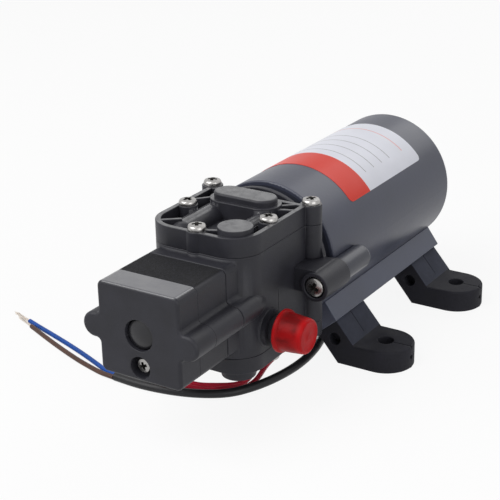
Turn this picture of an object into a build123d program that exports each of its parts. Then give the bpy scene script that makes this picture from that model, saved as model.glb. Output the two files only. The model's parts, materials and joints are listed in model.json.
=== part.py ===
"""Low-voltage diaphragm water pump for a caravan, boat or camper.

A brush motor turns an eccentric that drives two diaphragms, one above and one
below its shaft. A pressure switch sits on the front of the pump head, a capped
hose port on each side, and the motor stands on a bracket with four rubber feet.
X runs across the pump, Y along the motor to the rear, Z up. Sizes are in mm.
"""

import os
from math import atan2, cos, degrees, hypot, pi, radians, sin, sqrt, tan

from build123d import *

# General fits
fit_gap = 0.05
part_gap = 0.3

# Lengths along the motor axis, from the front to the rear
cover_depth = 10.0
housing_depth = 15.4
body_depth = 46.1
plate_gap = 3.3
can_length = 90.2

# Motor
axis_height = 40.1
can_radius = 25.0
can_wall = 1.5
can_end_wall = 2.0
can_edge_round = 2.0
can_mouth_round = 0.6
shaft_radius = 2.0
magnet_thickness = 5.0
magnet_length = 50.0
magnet_angle = 110.0
magnet_setback = 10.0
air_gap = 0.7
core_length = 40.0
core_slots = 7
slot_width = 3.4
slot_depth = 9.0
end_turn_length = 6.0
end_turn_inner_radius = 6.5
end_turn_margin = 1.4
commutator_radius = 6.0
commutator_length = 10.0
commutator_gap = 1.4
commutator_slit = 0.5
commutator_slit_depth = 0.8
bush_radius = 5.0
bush_length = 6.0
bush_seat_wall = 2.0
front_bearing_radius = 6.5
front_bearing_width = 5.0
front_bearing_inset = 1.0
front_bearing_race = 1.3
front_ball_count = 8
brush_width = 4.4
brush_height = 5.0
brush_length = 7.5
brush_gap = 0.1
brush_tube_wall = 0.8
brush_plate_gap = 0.8
brush_plate_thickness = 2.0
brush_plate_hole_radius = 9.0
plate_neck_radius = 22.0
plate_spigot_length = 2.0
plate_boss_radius = 8.5
plate_boss_length = 5.0

# Pump head
deck_rise = 15.9
deck_drop = 18.5
cover_height = 6.6
lower_cover_height = 5.4
cover_floor = 1.6
cover_rim = 1.9
head_width = 38.0
head_setback = 4.1
head_tail = 3.7
head_corner = 10.0
flange_depth = 7.5
nose_screw_back = 2.7
side_screw_x = 15.4
side_screw_back = 20.0
rear_screw_x = 19.2
rear_screw_overhang = 1.8
outer_boss_radius = 3.6
inner_boss_radius = 3.3
column_length = 11.6
cover_screw_grip = 5.5
rear_flange_radius = 24.3
rear_flange_thickness = 1.8
drive_housing_radius = 15.5
web_half_height = 4.2
web_setback = 12.7

# Features moulded on each cover
oval_setback = 7.5
oval_length = 22.8
oval_width = 9.6
oval_rise = 9.6
oval_step = 1.4
oval_step_rise = 7.4
disc_x = 11.1
disc_back = 7.5
disc_radius = 5.65
disc_rise = 8.3
channel_x = 9.5
channel_radius = 4.4
channel_front_back = 3.9
link_radius = 3.6
link_x = 9.4
link_lift = 2.6
rib_thickness = 1.3
chamber_wall = 1.6
chamber_round = 0.8

# Diaphragm drive
chamber_setback = 14.8
diaphragm_radius = 12.2
drive_bore_radius = 10.2
stroke = 1.0
eccentric_radius = 4.0
eccentric_length = 7.0
eccentric_bearing_radius = 6.0
eccentric_bearing_width = 3.5
eccentric_race = 0.5
eccentric_ball_count = 9
bead_thickness = 2.0
web_thickness = 1.0
fold_width = 1.6
valve_plate_thickness = 3.2
pump_chamber_depth = 1.6
cover_seal_thickness = 1.0
yoke_clearance = 0.15
yoke_wall = 1.4
yoke_corner = 3.0
yoke_thickness = 5.0
yoke_pad_radius = 4.0
clamp_head_radius = 3.0
clamp_head_thickness = 0.6
clamp_stem_radius = 1.0
clamp_stem_length = 1.6
valve_offset = 5.4
valve_radius = 3.9
valve_thickness = 0.7
valve_stem_radius = 0.9
valve_hole_radius = 0.8
valve_hole_ring = 2.4
valve_hole_count = 6

# Water passages and hose ports
gallery_x = 12.6
gallery_radius = 2.0
gallery_seal_radius = 2.9
port_lead = 10.0
port_drop = 10.9
passage_radius = 2.5
port_socket_radius = 5.0
port_socket_depth = 1.9
port_boss_radius = 6.3
port_boss_rise = 0.5
port_collar_radius = 6.0
port_collar_thickness = 1.6
port_neck_radius = 4.3
port_bore_radius = 3.0
barb_radius = 5.0
barb_count = 3
barb_pitch = 3.0
port_seal_section = 0.9
cap_lip_setback = 2.9
cap_length = 9.8
cap_wall = 1.1
cap_fit = 0.1
cap_lip_radius = 7.1
cap_lip_thickness = 1.6
cap_lip_slope = 0.8
cap_root_radius = 6.35
cap_waist_radius = 6.0
cap_end_radius = 5.75
cap_edge_round = 0.9

# Pressure switch
box_width = 30.0
box_height = 30.4
box_drop = 0.7
box_corner = 2.2
box_wall = 2.1
box_front_wall = 2.0
box_rear_wall = 2.4
box_edge_round = 1.1
ear_tip = 21.3
ear_radius = 4.15
ear_drop = 0.35
ear_blend = 1.5
ear_length_on_body = 9.0
ear_fade = 7.0
plug_radius = 4.8
plug_inset = 0.3
plug_dome = 1.5
plug_depth = 3.4
plug_stem_radius = 3.9
plug_stem_length = 1.2
adjuster_bore_radius = 4.1
adjuster_tube_radius = 7.2
adjuster_length = 5.2
adjuster_slot = 1.0
switch_screw_drop = 10.7
switch_screw_recess = 3.1
switch_recess_radius = 3.6
switch_head_radius = 2.45
switch_head_thickness = 1.6
switch_pillar_wall = 1.1
switch_screw_grip = 4.5
switch_diaphragm_radius = 7.0
switch_diaphragm_thickness = 1.6
switch_way_radius = 1.5
switch_way_length = 9.6
plunger_radius = 4.0
plunger_collar_radius = 4.6
plunger_collar_thickness = 1.5
plunger_rod_radius = 1.6
plunger_rod_length = 5.5
plunger_travel = 0.8
plunger_arm_width = 3.2
plunger_arm_rise = 10.8
spring_radius = 3.0
spring_wire = 0.7
spring_turns = 6
microswitch_width = 19.8
microswitch_height = 6.4
microswitch_depth = 8.3
button_width = 2.8
button_height = 1.2
button_rise = 1.2
button_depth = 2.6
button_drop = 3.7
terminal_width = 2.4
terminal_thickness = 0.6
terminal_length = 3.6

# Motor screws and the threaded barrels on the can
motor_screw_x = 27.2
motor_screw_drop = 1.1
motor_boss_radius = 5.0
motor_boss_front = 14.0
motor_boss_overhang = 1.5
motor_head_radius = 3.4
motor_head_thickness = 2.4
motor_screw_recess = 2.0
motor_screw_radius = 1.75
motor_screw_thread = 9.0
barrel_radius = 4.1
barrel_length = 16.7
barrel_round = 2.0

# Pan screws of the pump head
head_radius = 3.0
head_thickness = 1.9
shank_radius = 1.45
cross_width = 0.9
cross_length = 3.4
cross_depth = 1.1
screw_turn = 25.7

# Bracket and feet
bracket_setback = 4.7
bracket_length = 81.0
flank_top_x = 18.8
flank_bottom_x = 23.3
flank_bottom_z = 17.35
flank_lip = 1.9
leg_lean = 39.9
saddle_floor_x = 11.5
saddle_floor_z = 12.3
foot_front_inset = 12.5
foot_rear_inset = 10.5
foot_hole_x = 35.9
foot_hole_radius = 2.8
foot_pad_radius = 10.0
foot_pad_height = 8.0
upright_thickness = 9.9
leg_thickness = 3.4
leg_width = 13.0
leg_length = 9.0
foot_side_hole_radius = 2.2
foot_side_hole_depth = 3.2
foot_side_hole_drop = 5.0
foot_round = 0.8

# Label
label_setback = 20.2
label_length = 53.5
label_angle = 54.3
label_thickness = 0.12
label_corner = 2.0

# Leads
jacket_radius = 1.5
wire_radius = 0.85
strand_radius = 0.45
strand_length = 11.0
bend_share = 0.45
switch_lead_radius = 0.9
lead_exit_setback = 65.2
grommet_half_length = 6.2
grommet_half_width = 2.6
grommet_flange = 1.0
grommet_drop = 1.7
grommet_rise = 2.4
jacket_exit_x = 3.1
far_lead_exit_x = -3.9
switch_gland_x = -8.5
switch_gland_back = 7.0
switch_gland_radius = 2.7
switch_gland_flange = 0.8
switch_gland_drop = 1.8

# Places along the motor axis, with the middle of the whole length at zero
overall_length = cover_depth + housing_depth + body_depth + plate_gap + can_length
front_y = -overall_length / 2
split_y = front_y + cover_depth
flange_y = split_y + housing_depth
body_back_y = flange_y + body_depth
can_front_y = body_back_y + plate_gap
can_back_y = can_front_y + can_length

# Places of the pump head
box_centre_z = axis_height - box_drop
ear_x = ear_tip - ear_radius
upper_deck_z = axis_height + deck_rise
lower_deck_z = axis_height - deck_drop
mid_z = (upper_deck_z + lower_deck_z) / 2
head_front_y = flange_y + head_setback
head_back_y = body_back_y - head_tail
head_length = head_back_y - head_front_y
head_centre_y = (head_front_y + head_back_y) / 2
wall_x = head_width / 2
chamber_y = head_back_y - chamber_setback
oval_y = head_back_y - oval_setback
disc_y = head_front_y + disc_back
channel_y = head_front_y + channel_front_back + channel_radius
nose_screw = (0, head_front_y + nose_screw_back)
side_screws = [(side * side_screw_x, head_front_y + side_screw_back) for side in (1, -1)]
rear_screws = [(side * rear_screw_x, head_back_y + rear_screw_overhang) for side in (1, -1)]
cover_screws = [nose_screw, *side_screws, *rear_screws]
pocket_depth = cover_seal_thickness + valve_plate_thickness + bead_thickness
plate_top_z = upper_deck_z - cover_seal_thickness
plate_bottom_z = plate_top_z - valve_plate_thickness
web_top_z = plate_bottom_z - (bead_thickness - web_thickness) / 2
web_bottom_z = web_top_z - web_thickness
lower_web_z = 2 * mid_z - web_bottom_z
bearing_reach = eccentric_bearing_radius + stroke
yoke_inner_width = 2 * (bearing_reach + yoke_clearance)
yoke_inner_height = 2 * (bearing_reach + stroke + yoke_clearance)

# Places of the ports and their caps
port_y = chamber_y - port_lead
port_z = axis_height - port_drop
port_face_x = wall_x + port_boss_rise
spigot_x = wall_x - port_socket_depth + fit_gap
groove_x = (spigot_x + port_face_x - port_seal_section) / 2
collar_x = port_face_x + port_collar_thickness
cap_open_x = collar_x + cap_lip_setback
cap_end_x = cap_open_x + cap_length
port_end_x = cap_end_x - cap_wall - part_gap
barb_start_x = port_end_x - barb_count * barb_pitch
galleries = [(side * gallery_x, port_y) for side in (1, -1)]

# Places of the pressure switch
plunger_back_y = flange_y - switch_diaphragm_thickness
collar_back_y = flange_y - box_rear_wall - part_gap
collar_front_y = collar_back_y - plunger_collar_thickness
adjuster_back_y = split_y - fit_gap
microswitch_back_y = collar_front_y - button_rise
switch_gland_y = split_y + switch_gland_back
box_bottom_z = box_centre_z - box_height / 2
box_room = box_height / 2 - box_wall

# Places of the motor
motor_screw_z = axis_height - motor_screw_drop
boss_front_y = body_back_y - motor_boss_front
boss_back_y = body_back_y + motor_boss_overhang
screw_seat_y = boss_front_y + motor_screw_recess
barrel_front_y = boss_back_y + part_gap
can_inner_radius = can_radius - can_wall
can_bottom_z = axis_height - can_radius
core_radius = can_inner_radius - magnet_thickness - air_gap
magnet_y = can_front_y + magnet_setback
core_y = magnet_y + (magnet_length - core_length) / 2
commutator_y = core_y + core_length + end_turn_length + commutator_gap
brush_y = commutator_y + commutator_length / 2
brush_plate_y = commutator_y + commutator_length + brush_plate_gap
brush_x = commutator_radius + brush_gap
shaft_front_y = chamber_y - eccentric_length / 2
can_end_y = can_back_y - can_end_wall
shaft_back_y = can_end_y - part_gap
bearing_front_y = body_back_y - plate_boss_length + front_bearing_inset

# Places of the bracket, the feet and the leads
bracket_y = can_front_y + bracket_setback
foot_front_y = bracket_y + foot_front_inset
foot_rear_y = bracket_y + bracket_length - foot_rear_inset
foot_tip_x = foot_hole_x + foot_pad_radius
lead_exit_y = can_front_y + lead_exit_setback
lead_exit_x = (jacket_exit_x + far_lead_exit_x) / 2
lead_exit_z = saddle_floor_z - grommet_drop
gland_face_z = box_bottom_z - switch_gland_drop

# Routes of the leads, laid on the surface that the pump stands on
jacket_route = [
    (3.1, 57.5, 10.6),
    (3.1, 57.5, 7.0),
    (3.1, 56.2, 3.6),
    (3.1, 53.5, 1.9),
    (3.2, 49.9, 1.5),
    (3.5, 44.3, 1.5),
    (4.2, 35.6, 1.5),
    (5.7, 25.5, 1.5),
    (8.0, 15.8, 1.5),
    (10.9, 6.6, 1.5),
    (12.5, -2.4, 1.5),
    (12.8, -10.4, 1.5),
    (12.2, -17.3, 1.5),
    (10.8, -24.6, 1.5),
    (8.2, -32.4, 1.5),
    (3.7, -40.2, 1.5),
    (-4.0, -45.2, 1.5),
    (-12.4, -48.2, 1.5),
    (-21.5, -49.8, 1.5),
    (-29.2, -50.2, 1.5),
    (-36.7, -49.6, 1.5),
]
blue_route = [
    (-36.63, -48.7, 1.5),
    (-39.12, -48.5, 1.5),
    (-43.0, -47.1, 1.1),
    (-48.3, -44.6, 0.85),
    (-56.2, -41.4, 0.85),
    (-65.0, -38.2, 0.85),
    (-75.5, -34.7, 0.85),
    (-84.3, -32.0, 0.85),
    (-92.4, -29.3, 0.85),
]
brown_route = [
    (-36.77, -50.5, 1.5),
    (-39.26, -50.3, 1.5),
    (-43.2, -49.4, 1.1),
    (-48.2, -47.8, 0.85),
    (-55.6, -45.7, 0.85),
    (-65.3, -42.2, 0.85),
    (-77.2, -37.5, 0.85),
    (-88.8, -32.5, 0.85),
]
near_lead_route = [
    (-1.2, 57.5, 10.6),
    (-1.2, 57.5, 7.0),
    (-1.2, 56.1, 3.5),
    (-1.2, 53.4, 1.3),
    (-1.1, 49.8, 0.9),
    (-0.8, 44.1, 0.9),
    (-0.3, 35.4, 0.9),
    (0.5, 24.6, 0.9),
    (1.1, 13.6, 0.9),
    (1.3, 2.6, 0.9),
    (1.7, -7.2, 0.9),
    (2.9, -16.5, 0.9),
    (5.3, -24.7, 0.9),
    (5.9, -30.2, 0.9),
    (4.5, -34.6, 0.9),
    (-0.9, -38.4, 0.9),
    (-8.2, -42.6, 0.9),
    (-14.4, -45.2, 3.0),
    (-17.6, -50.2, 7.6),
    (-16.9, -57.2, 11.6),
    (-12.2, -63.0, 14.8),
    (-7.4, -65.5, 18.6),
    (-7.4, -65.5, 22.4),
]
far_lead_route = [
    (-3.9, 57.5, 10.6),
    (-3.9, 57.5, 7.0),
    (-3.9, 56.1, 3.5),
    (-3.9, 53.4, 1.3),
    (-3.8, 49.8, 0.9),
    (-3.5, 44.1, 0.9),
    (-2.9, 35.4, 0.9),
    (-2.0, 24.6, 0.9),
    (-1.3, 13.6, 0.9),
    (-1.1, 2.6, 0.9),
    (-0.8, -7.2, 0.9),
    (0.2, -16.9, 0.9),
    (2.5, -24.9, 0.9),
    (3.1, -29.8, 0.9),
    (1.2, -33.5, 0.9),
    (-3.4, -36.6, 0.9),
    (-10.2, -40.2, 0.9),
    (-16.8, -43.0, 3.4),
    (-20.0, -48.6, 8.4),
    (-18.2, -56.0, 13.0),
    (-14.6, -62.4, 16.4),
    (-9.6, -65.5, 19.2),
    (-9.6, -65.5, 22.4),
]

upper_deck = Plane.XY.offset(upper_deck_z)
middle = Plane.XY.offset(mid_z)


def across(y, z=0.0):
    """A plane square to the motor axis: its x is X, its y is Z, and it faces the front."""
    return Plane(origin=(0, y, z), x_dir=(1, 0, 0), z_dir=(0, -1, 0))


def sideways(x, y, z):
    """A plane square to X that faces the right side, with its origin at a point."""
    return Plane(origin=(x, y, z), x_dir=(0, 1, 0), z_dir=(1, 0, 0))


def both_sides(x, y=0.0):
    """A point on the right and its mirror image on the left."""
    return [(x, y), (-x, y)]


def finish(piece, label):
    """Name a finished piece and write its STEP file."""
    piece.label = label
    export_step(piece, f"parts/{label}.step")


def box_outline():
    """Outline of the pressure switch about its centre, with a half-round ear on each side."""
    with BuildSketch(Plane.XY, mode=Mode.PRIVATE) as outline:
        RectangleRounded(box_width, box_height, box_corner)
        with Locations((0, -ear_drop)):
            SlotCenterToCenter(2 * ear_x, 2 * ear_radius)
        corners = outline.vertices().filter_by(lambda corner: abs(corner.Y) < ear_radius + 2 * ear_drop)
        fillet(corners.filter_by(lambda corner: abs(corner.X) < ear_x - fit_gap), radius=ear_blend)
    return outline.sketch


def head_plan(boss_places):
    """Plan of the pump head, with the screw bosses that bulge out of it."""
    with BuildSketch(Plane.XY, mode=Mode.PRIVATE) as plan:
        with Locations((0, head_centre_y)):
            Rectangle(head_width, head_length)
        fillet(plan.vertices().group_by(Axis.Y)[0], radius=head_corner)
        with Locations(*boss_places):
            Circle(outer_boss_radius)
    return plan.sketch


def recess_plan():
    """Plan of the open recess inside a cover's rim, round the bosses."""
    with BuildSketch(Plane.XY, mode=Mode.PRIVATE) as plan:
        with Locations((0, head_centre_y)):
            Rectangle(head_width - 2 * cover_rim, head_length - 2 * cover_rim)
        fillet(plan.vertices().group_by(Axis.Y)[0], radius=head_corner - cover_rim)
        with Locations(*cover_screws):
            Circle(inner_boss_radius, mode=Mode.SUBTRACT)
    return plan.sketch


def half_round(radius, lift):
    """A half circle that stands on a line at the height lift."""
    with BuildSketch(Plane.XY, mode=Mode.PRIVATE) as half:
        with BuildLine():
            CenterArc((0, lift), radius, 0, 180)
            Line((-radius, lift), (radius, lift))
        make_face()
    return half.sketch


def cover_chambers():
    """Oval chamber, round chamber, long channel and short link raised on a cover."""
    channel_section = half_round(channel_radius, cover_floor)
    link_section = half_round(link_radius, link_lift)
    with BuildPart() as chambers:
        with BuildSketch(upper_deck):
            with Locations((0, oval_y)):
                SlotOverall(oval_length + 2 * oval_step, oval_width + 2 * oval_step)
        extrude(amount=oval_step_rise)
        with BuildSketch(upper_deck):
            with Locations((0, oval_y)):
                SlotOverall(oval_length, oval_width)
        extrude(amount=oval_rise)
        fillet(chambers.faces().sort_by(Axis.Z)[-1].edges(), radius=chamber_round)
        with BuildSketch(across(oval_y, upper_deck_z)):
            with Locations((-channel_x, 0)):
                add(channel_section)
        extrude(amount=oval_y - channel_y)
        with BuildSketch(across(channel_y, upper_deck_z + cover_floor)):
            with Locations((-channel_x, 0)):
                Circle(channel_radius)
            with Locations((-channel_x, -channel_radius), (-channel_x - channel_radius, 0)):
                Rectangle(2 * channel_radius, 2 * channel_radius, mode=Mode.SUBTRACT)
        revolve(axis=Axis((-channel_x, channel_y, 0), (0, 0, 1)))
        with BuildSketch(across(oval_y, upper_deck_z)):
            with Locations((link_x, 0)):
                add(link_section)
            with Locations((link_x, link_lift / 2)):
                Rectangle(2 * link_radius, link_lift)
        extrude(amount=oval_y - disc_y)
        with BuildSketch(upper_deck):
            with Locations((disc_x, disc_y)):
                Circle(disc_radius)
        extrude(amount=disc_rise)
    return chambers.part


def cover_ribs(height):
    """Thin ribs at rim height that brace the chambers to the rim."""
    corner = head_corner * (1 - 1 / sqrt(2)) + cover_rim / 2
    rim_x = wall_x - cover_rim / 2
    oval_end = oval_length / 2
    right_side, left_side = side_screws
    right_rear, left_rear = rear_screws
    runs = [
        ((corner - wall_x, head_front_y + corner), (-channel_x, channel_y)),
        ((-rim_x, left_side[1] + inner_boss_radius), (-oval_end, oval_y)),
        (nose_screw, (disc_x, disc_y)),
        (right_rear, (oval_end - oval_step, oval_y + oval_step)),
        ((rim_x, oval_y + oval_step), (oval_end - oval_step, oval_y - oval_step)),
        (left_rear, (oval_step - oval_end, oval_y + oval_step)),
    ]
    with BuildPart() as ribs:
        for start, end in runs:
            run_x = end[0] - start[0]
            run_y = end[1] - start[1]
            with BuildSketch(upper_deck.offset(cover_floor)):
                with Locations(((start[0] + end[0]) / 2, (start[1] + end[1]) / 2)):
                    Rectangle(hypot(run_x, run_y), rib_thickness, rotation=degrees(atan2(run_y, run_x)))
            extrude(amount=height - cover_floor)
    return ribs.part


def cover_hollows():
    """Hollows below the raised chambers, open to the valve plate and the galleries."""
    channel_section = half_round(channel_radius - chamber_wall, 0)
    link_section = half_round(link_radius - chamber_wall, 0)
    with BuildPart() as hollows:
        with BuildSketch(upper_deck):
            with Locations((chamber_wall, oval_y)):
                SlotOverall(oval_length - 4 * chamber_wall, oval_width - 2 * chamber_wall)
        extrude(amount=oval_rise - chamber_wall)
        with BuildSketch(upper_deck):
            with Locations((disc_x, disc_y)):
                Circle(disc_radius - chamber_wall)
        extrude(amount=disc_rise - chamber_wall)
        with BuildSketch(across(chamber_y, upper_deck_z)):
            with Locations((-channel_x, 0)):
                add(channel_section)
        extrude(amount=chamber_y - channel_y)
        with BuildSketch(across(oval_y, upper_deck_z)):
            with Locations((link_x, 0)):
                add(link_section)
        extrude(amount=oval_y - disc_y)
        with BuildSketch(upper_deck):
            with Locations(*galleries):
                Circle(gallery_radius)
        extrude(amount=cover_floor / 2)
    return hollows.part


def make_cover(height):
    """Open tray with the valve chambers raised in it, as it lies on the upper deck."""
    plan = head_plan([nose_screw, *rear_screws])
    recess = recess_plan()
    chambers = cover_chambers()
    ribs = cover_ribs(height)
    hollows = cover_hollows()
    with BuildPart() as cover:
        with BuildSketch(upper_deck):
            add(plan)
        extrude(amount=height)
        with BuildSketch(upper_deck.offset(cover_floor)):
            add(recess)
        extrude(amount=height, mode=Mode.SUBTRACT)
        add(chambers)
        add(ribs)
        add(hollows, mode=Mode.SUBTRACT)
        with BuildSketch(upper_deck):
            with Locations(*cover_screws):
                Circle(shank_radius + fit_gap)
        extrude(amount=height, mode=Mode.SUBTRACT)
    return cover.part


def make_screw(radius, thickness, shank, length):
    """Cross-recess pan screw: its head stands on the origin and its shank points down."""
    with BuildPart() as screw:
        with BuildSketch(Plane.XY):
            Circle(radius)
        extrude(amount=thickness)
        fillet(screw.faces().sort_by(Axis.Z)[-1].edges(), radius=thickness / 2)
        with BuildSketch(Plane.XY):
            Circle(shank)
        extrude(amount=-length)
        with BuildSketch(Plane.XY.offset(thickness)):
            Rectangle(cross_length, cross_width)
            Rectangle(cross_width, cross_length)
        extrude(amount=-cross_depth, mode=Mode.SUBTRACT)
    return screw.part


def make_cover_screws(height):
    """Screws of a cover on the upper deck, each on its boss and turned its own way."""
    screw = make_screw(head_radius, head_thickness, shank_radius, height + cover_screw_grip)
    seat_z = upper_deck_z + height
    with BuildPart() as screws:
        for number, (x, y) in enumerate(cover_screws):
            turn = radians(number * screw_turn)
            with Locations(Plane(origin=(x, y, seat_z), x_dir=(cos(turn), sin(turn), 0))):
                add(screw)
    return screws.part


def ear_end():
    """Half profile of an ear's end, which curves in until it is flush with the body's wall."""
    with BuildSketch(Plane.XY, mode=Mode.PRIVATE) as profile:
        with BuildLine():
            Line((0, 0), (0, ear_radius))
            TangentArc((0, ear_radius), (ear_fade, wall_x - ear_x), tangent=(1, 0))
            Polyline((ear_fade, wall_x - ear_x), (ear_fade, 0), (0, 0))
        make_face()
    return profile.sketch


def body_form():
    """Outer form of the pump body."""
    plan = head_plan([nose_screw])
    outline = box_outline()
    fade = ear_end()
    fade_y = flange_y + ear_length_on_body
    with BuildPart() as form:
        with BuildSketch(Plane.XY.offset(lower_deck_z)):
            add(plan)
        extrude(amount=upper_deck_z - lower_deck_z)
        for foot_z in (lower_deck_z, upper_deck_z - column_length):
            with BuildSketch(Plane.XY.offset(foot_z)):
                with Locations(*rear_screws):
                    Circle(outer_boss_radius)
            extrude(amount=column_length)
        with BuildSketch(across(flange_y, box_centre_z)):
            add(outline)
        extrude(amount=-flange_depth)
        with BuildSketch(across(flange_y, box_centre_z - ear_drop)):
            SlotCenterToCenter(2 * ear_x, 2 * ear_radius)
        extrude(amount=-ear_length_on_body)
        for side in (1, -1):
            with BuildSketch(sideways(side * ear_x, fade_y, box_centre_z - ear_drop)):
                add(fade)
            revolve(axis=Axis((side * ear_x, fade_y, box_centre_z - ear_drop), (0, 1, 0)))
        with BuildSketch(across(body_back_y, axis_height)):
            Circle(drive_housing_radius)
            Rectangle(2 * motor_screw_x, 2 * web_half_height)
        extrude(amount=web_setback)
        with BuildSketch(across(body_back_y, axis_height)):
            Circle(rear_flange_radius)
        extrude(amount=rear_flange_thickness)
        with BuildSketch(across(boss_back_y, motor_screw_z)):
            with Locations(*both_sides(motor_screw_x)):
                Circle(motor_boss_radius)
        extrude(amount=boss_back_y - boss_front_y)
        with BuildSketch(across(boss_back_y, axis_height)):
            Circle(can_radius + part_gap)
        extrude(amount=motor_boss_overhang, mode=Mode.SUBTRACT)
        with BuildSketch(sideways(-port_face_x, port_y, port_z)):
            Circle(port_boss_radius)
        extrude(amount=2 * port_face_x)
        for side in (1, -1):
            with BuildSketch(sideways(side * port_face_x, port_y, port_z)):
                Circle(port_collar_radius + fit_gap)
            extrude(amount=side * (ear_tip - port_face_x), mode=Mode.SUBTRACT)
        for deck_z, outward in ((upper_deck_z, 1), (lower_deck_z, -1)):
            with BuildSketch(Plane.XY.offset(deck_z)):
                with Locations(*rear_screws):
                    Circle(outer_boss_radius + part_gap)
            extrude(amount=outward * 2 * cover_height, mode=Mode.SUBTRACT)
    return form.part


def drive_space():
    """Bore from deck to deck, with the diaphragm pockets and the motor's register."""
    with BuildPart() as space:
        with BuildSketch(Plane.XY.offset(lower_deck_z)):
            with Locations((0, chamber_y)):
                Circle(drive_bore_radius)
        extrude(amount=upper_deck_z - lower_deck_z)
        for deck_z, inward in ((upper_deck_z, -1), (lower_deck_z, 1)):
            with BuildSketch(Plane.XY.offset(deck_z)):
                with Locations((0, chamber_y)):
                    Circle(diaphragm_radius + fit_gap)
            extrude(amount=inward * pocket_depth)
        with BuildSketch(across(body_back_y, axis_height)):
            Circle(plate_boss_radius + fit_gap)
        extrude(amount=plate_boss_length + part_gap)
        with BuildSketch(across(body_back_y, axis_height)):
            Circle(bearing_reach + part_gap)
        extrude(amount=body_back_y - chamber_y)
    return space.part


def water_ways():
    """Galleries that join each port to both decks, and the bore to the switch."""
    turn = Vector(0, flange_y + switch_way_length - switch_way_radius, box_centre_z)
    branch = Vector(gallery_x, port_y, box_centre_z) - turn
    with BuildPart() as ways:
        with BuildSketch(Plane.XY.offset(lower_deck_z)):
            with Locations(*galleries):
                Circle(gallery_radius)
        extrude(amount=upper_deck_z - lower_deck_z)
        for deck_z, inward in ((upper_deck_z, -1), (lower_deck_z, 1)):
            with BuildSketch(Plane.XY.offset(deck_z)):
                with Locations(*galleries):
                    Circle(gallery_seal_radius + fit_gap)
            extrude(amount=inward * cover_seal_thickness)
        for side in (1, -1):
            with BuildSketch(sideways(side * port_face_x, port_y, port_z)):
                Circle(port_socket_radius + fit_gap)
            extrude(amount=-side * (port_boss_rise + port_socket_depth))
            with BuildSketch(sideways(side * port_face_x, port_y, port_z)):
                Circle(passage_radius)
            extrude(amount=-side * (port_face_x - gallery_x))
        with BuildSketch(across(flange_y, box_centre_z)):
            Circle(switch_diaphragm_radius - switch_diaphragm_thickness)
        extrude(amount=-switch_diaphragm_thickness)
        with BuildSketch(across(flange_y, box_centre_z)):
            Circle(switch_way_radius)
        extrude(amount=-switch_way_length)
        with BuildSketch(Plane(origin=turn, z_dir=branch)):
            Circle(switch_way_radius)
        extrude(amount=branch.length)
    return ways.part


def make_body():
    """Pump body: the drive space, both decks, the ports and the switch flange."""
    form = body_form()
    space = drive_space()
    ways = water_ways()
    with BuildPart() as body:
        add(form)
        add(space, mode=Mode.SUBTRACT)
        add(ways, mode=Mode.SUBTRACT)
        for deck_z, inward in ((upper_deck_z, -1), (lower_deck_z, 1)):
            with BuildSketch(Plane.XY.offset(deck_z)):
                with Locations(*cover_screws):
                    Circle(shank_radius + fit_gap)
            extrude(amount=inward * (cover_screw_grip + part_gap), mode=Mode.SUBTRACT)
        with BuildSketch(across(boss_front_y, motor_screw_z)):
            with Locations(*both_sides(motor_screw_x)):
                Circle(motor_head_radius + part_gap)
        extrude(amount=-motor_screw_recess, mode=Mode.SUBTRACT)
        with BuildSketch(across(boss_front_y, motor_screw_z)):
            with Locations(*both_sides(motor_screw_x)):
                Circle(motor_screw_radius + 2 * fit_gap)
        extrude(amount=boss_front_y - boss_back_y, mode=Mode.SUBTRACT)
        with BuildSketch(across(flange_y, box_centre_z - switch_screw_drop)):
            Circle(shank_radius + fit_gap)
        extrude(amount=-switch_screw_grip - part_gap, mode=Mode.SUBTRACT)
    return body.part


def make_valve_plate():
    """Upper valve plate, with a ring of small holes under each valve."""
    with BuildPart() as plate:
        with BuildSketch(Plane.XY.offset(plate_top_z)):
            with Locations((0, chamber_y)):
                Circle(diaphragm_radius)
        extrude(amount=-valve_plate_thickness)
        with BuildSketch(Plane.XY.offset(plate_bottom_z)):
            with Locations((0, chamber_y)):
                Circle(drive_bore_radius)
        extrude(amount=pump_chamber_depth, mode=Mode.SUBTRACT)
        with BuildSketch(Plane.XY.offset(plate_top_z)):
            with Locations(*both_sides(valve_offset, chamber_y)):
                Circle(valve_stem_radius + fit_gap)
                with PolarLocations(valve_hole_ring, valve_hole_count):
                    Circle(valve_hole_radius)
        extrude(amount=-valve_plate_thickness, mode=Mode.SUBTRACT)
    return plate.part


def make_cover_seal():
    """Upper gasket over the valve plate and a small ring round each gallery."""
    with BuildPart() as seal:
        with BuildSketch(upper_deck):
            with Locations((0, chamber_y)):
                Circle(diaphragm_radius)
            with Locations(*both_sides(valve_offset, chamber_y)):
                Circle(valve_radius + part_gap, mode=Mode.SUBTRACT)
            with Locations(*galleries):
                Circle(gallery_seal_radius)
                Circle(gallery_radius, mode=Mode.SUBTRACT)
        extrude(amount=-cover_seal_thickness)
    return seal.part


def make_check_valves():
    """Upper umbrella valves: the outlet one on the plate, the inlet one below it."""
    ceiling_z = plate_bottom_z + pump_chamber_depth
    with BuildPart() as valves:
        for x, face_z, outward in ((valve_offset, plate_top_z, 1), (-valve_offset, ceiling_z, -1)):
            with BuildSketch(Plane.XY.offset(face_z)):
                with Locations((x, chamber_y)):
                    Circle(valve_radius)
            extrude(amount=outward * valve_thickness)
            with BuildSketch(Plane.XY.offset(face_z)):
                with Locations((x, chamber_y)):
                    Circle(valve_stem_radius)
            extrude(amount=-outward * (plate_top_z - ceiling_z))
    return valves.part


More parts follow.
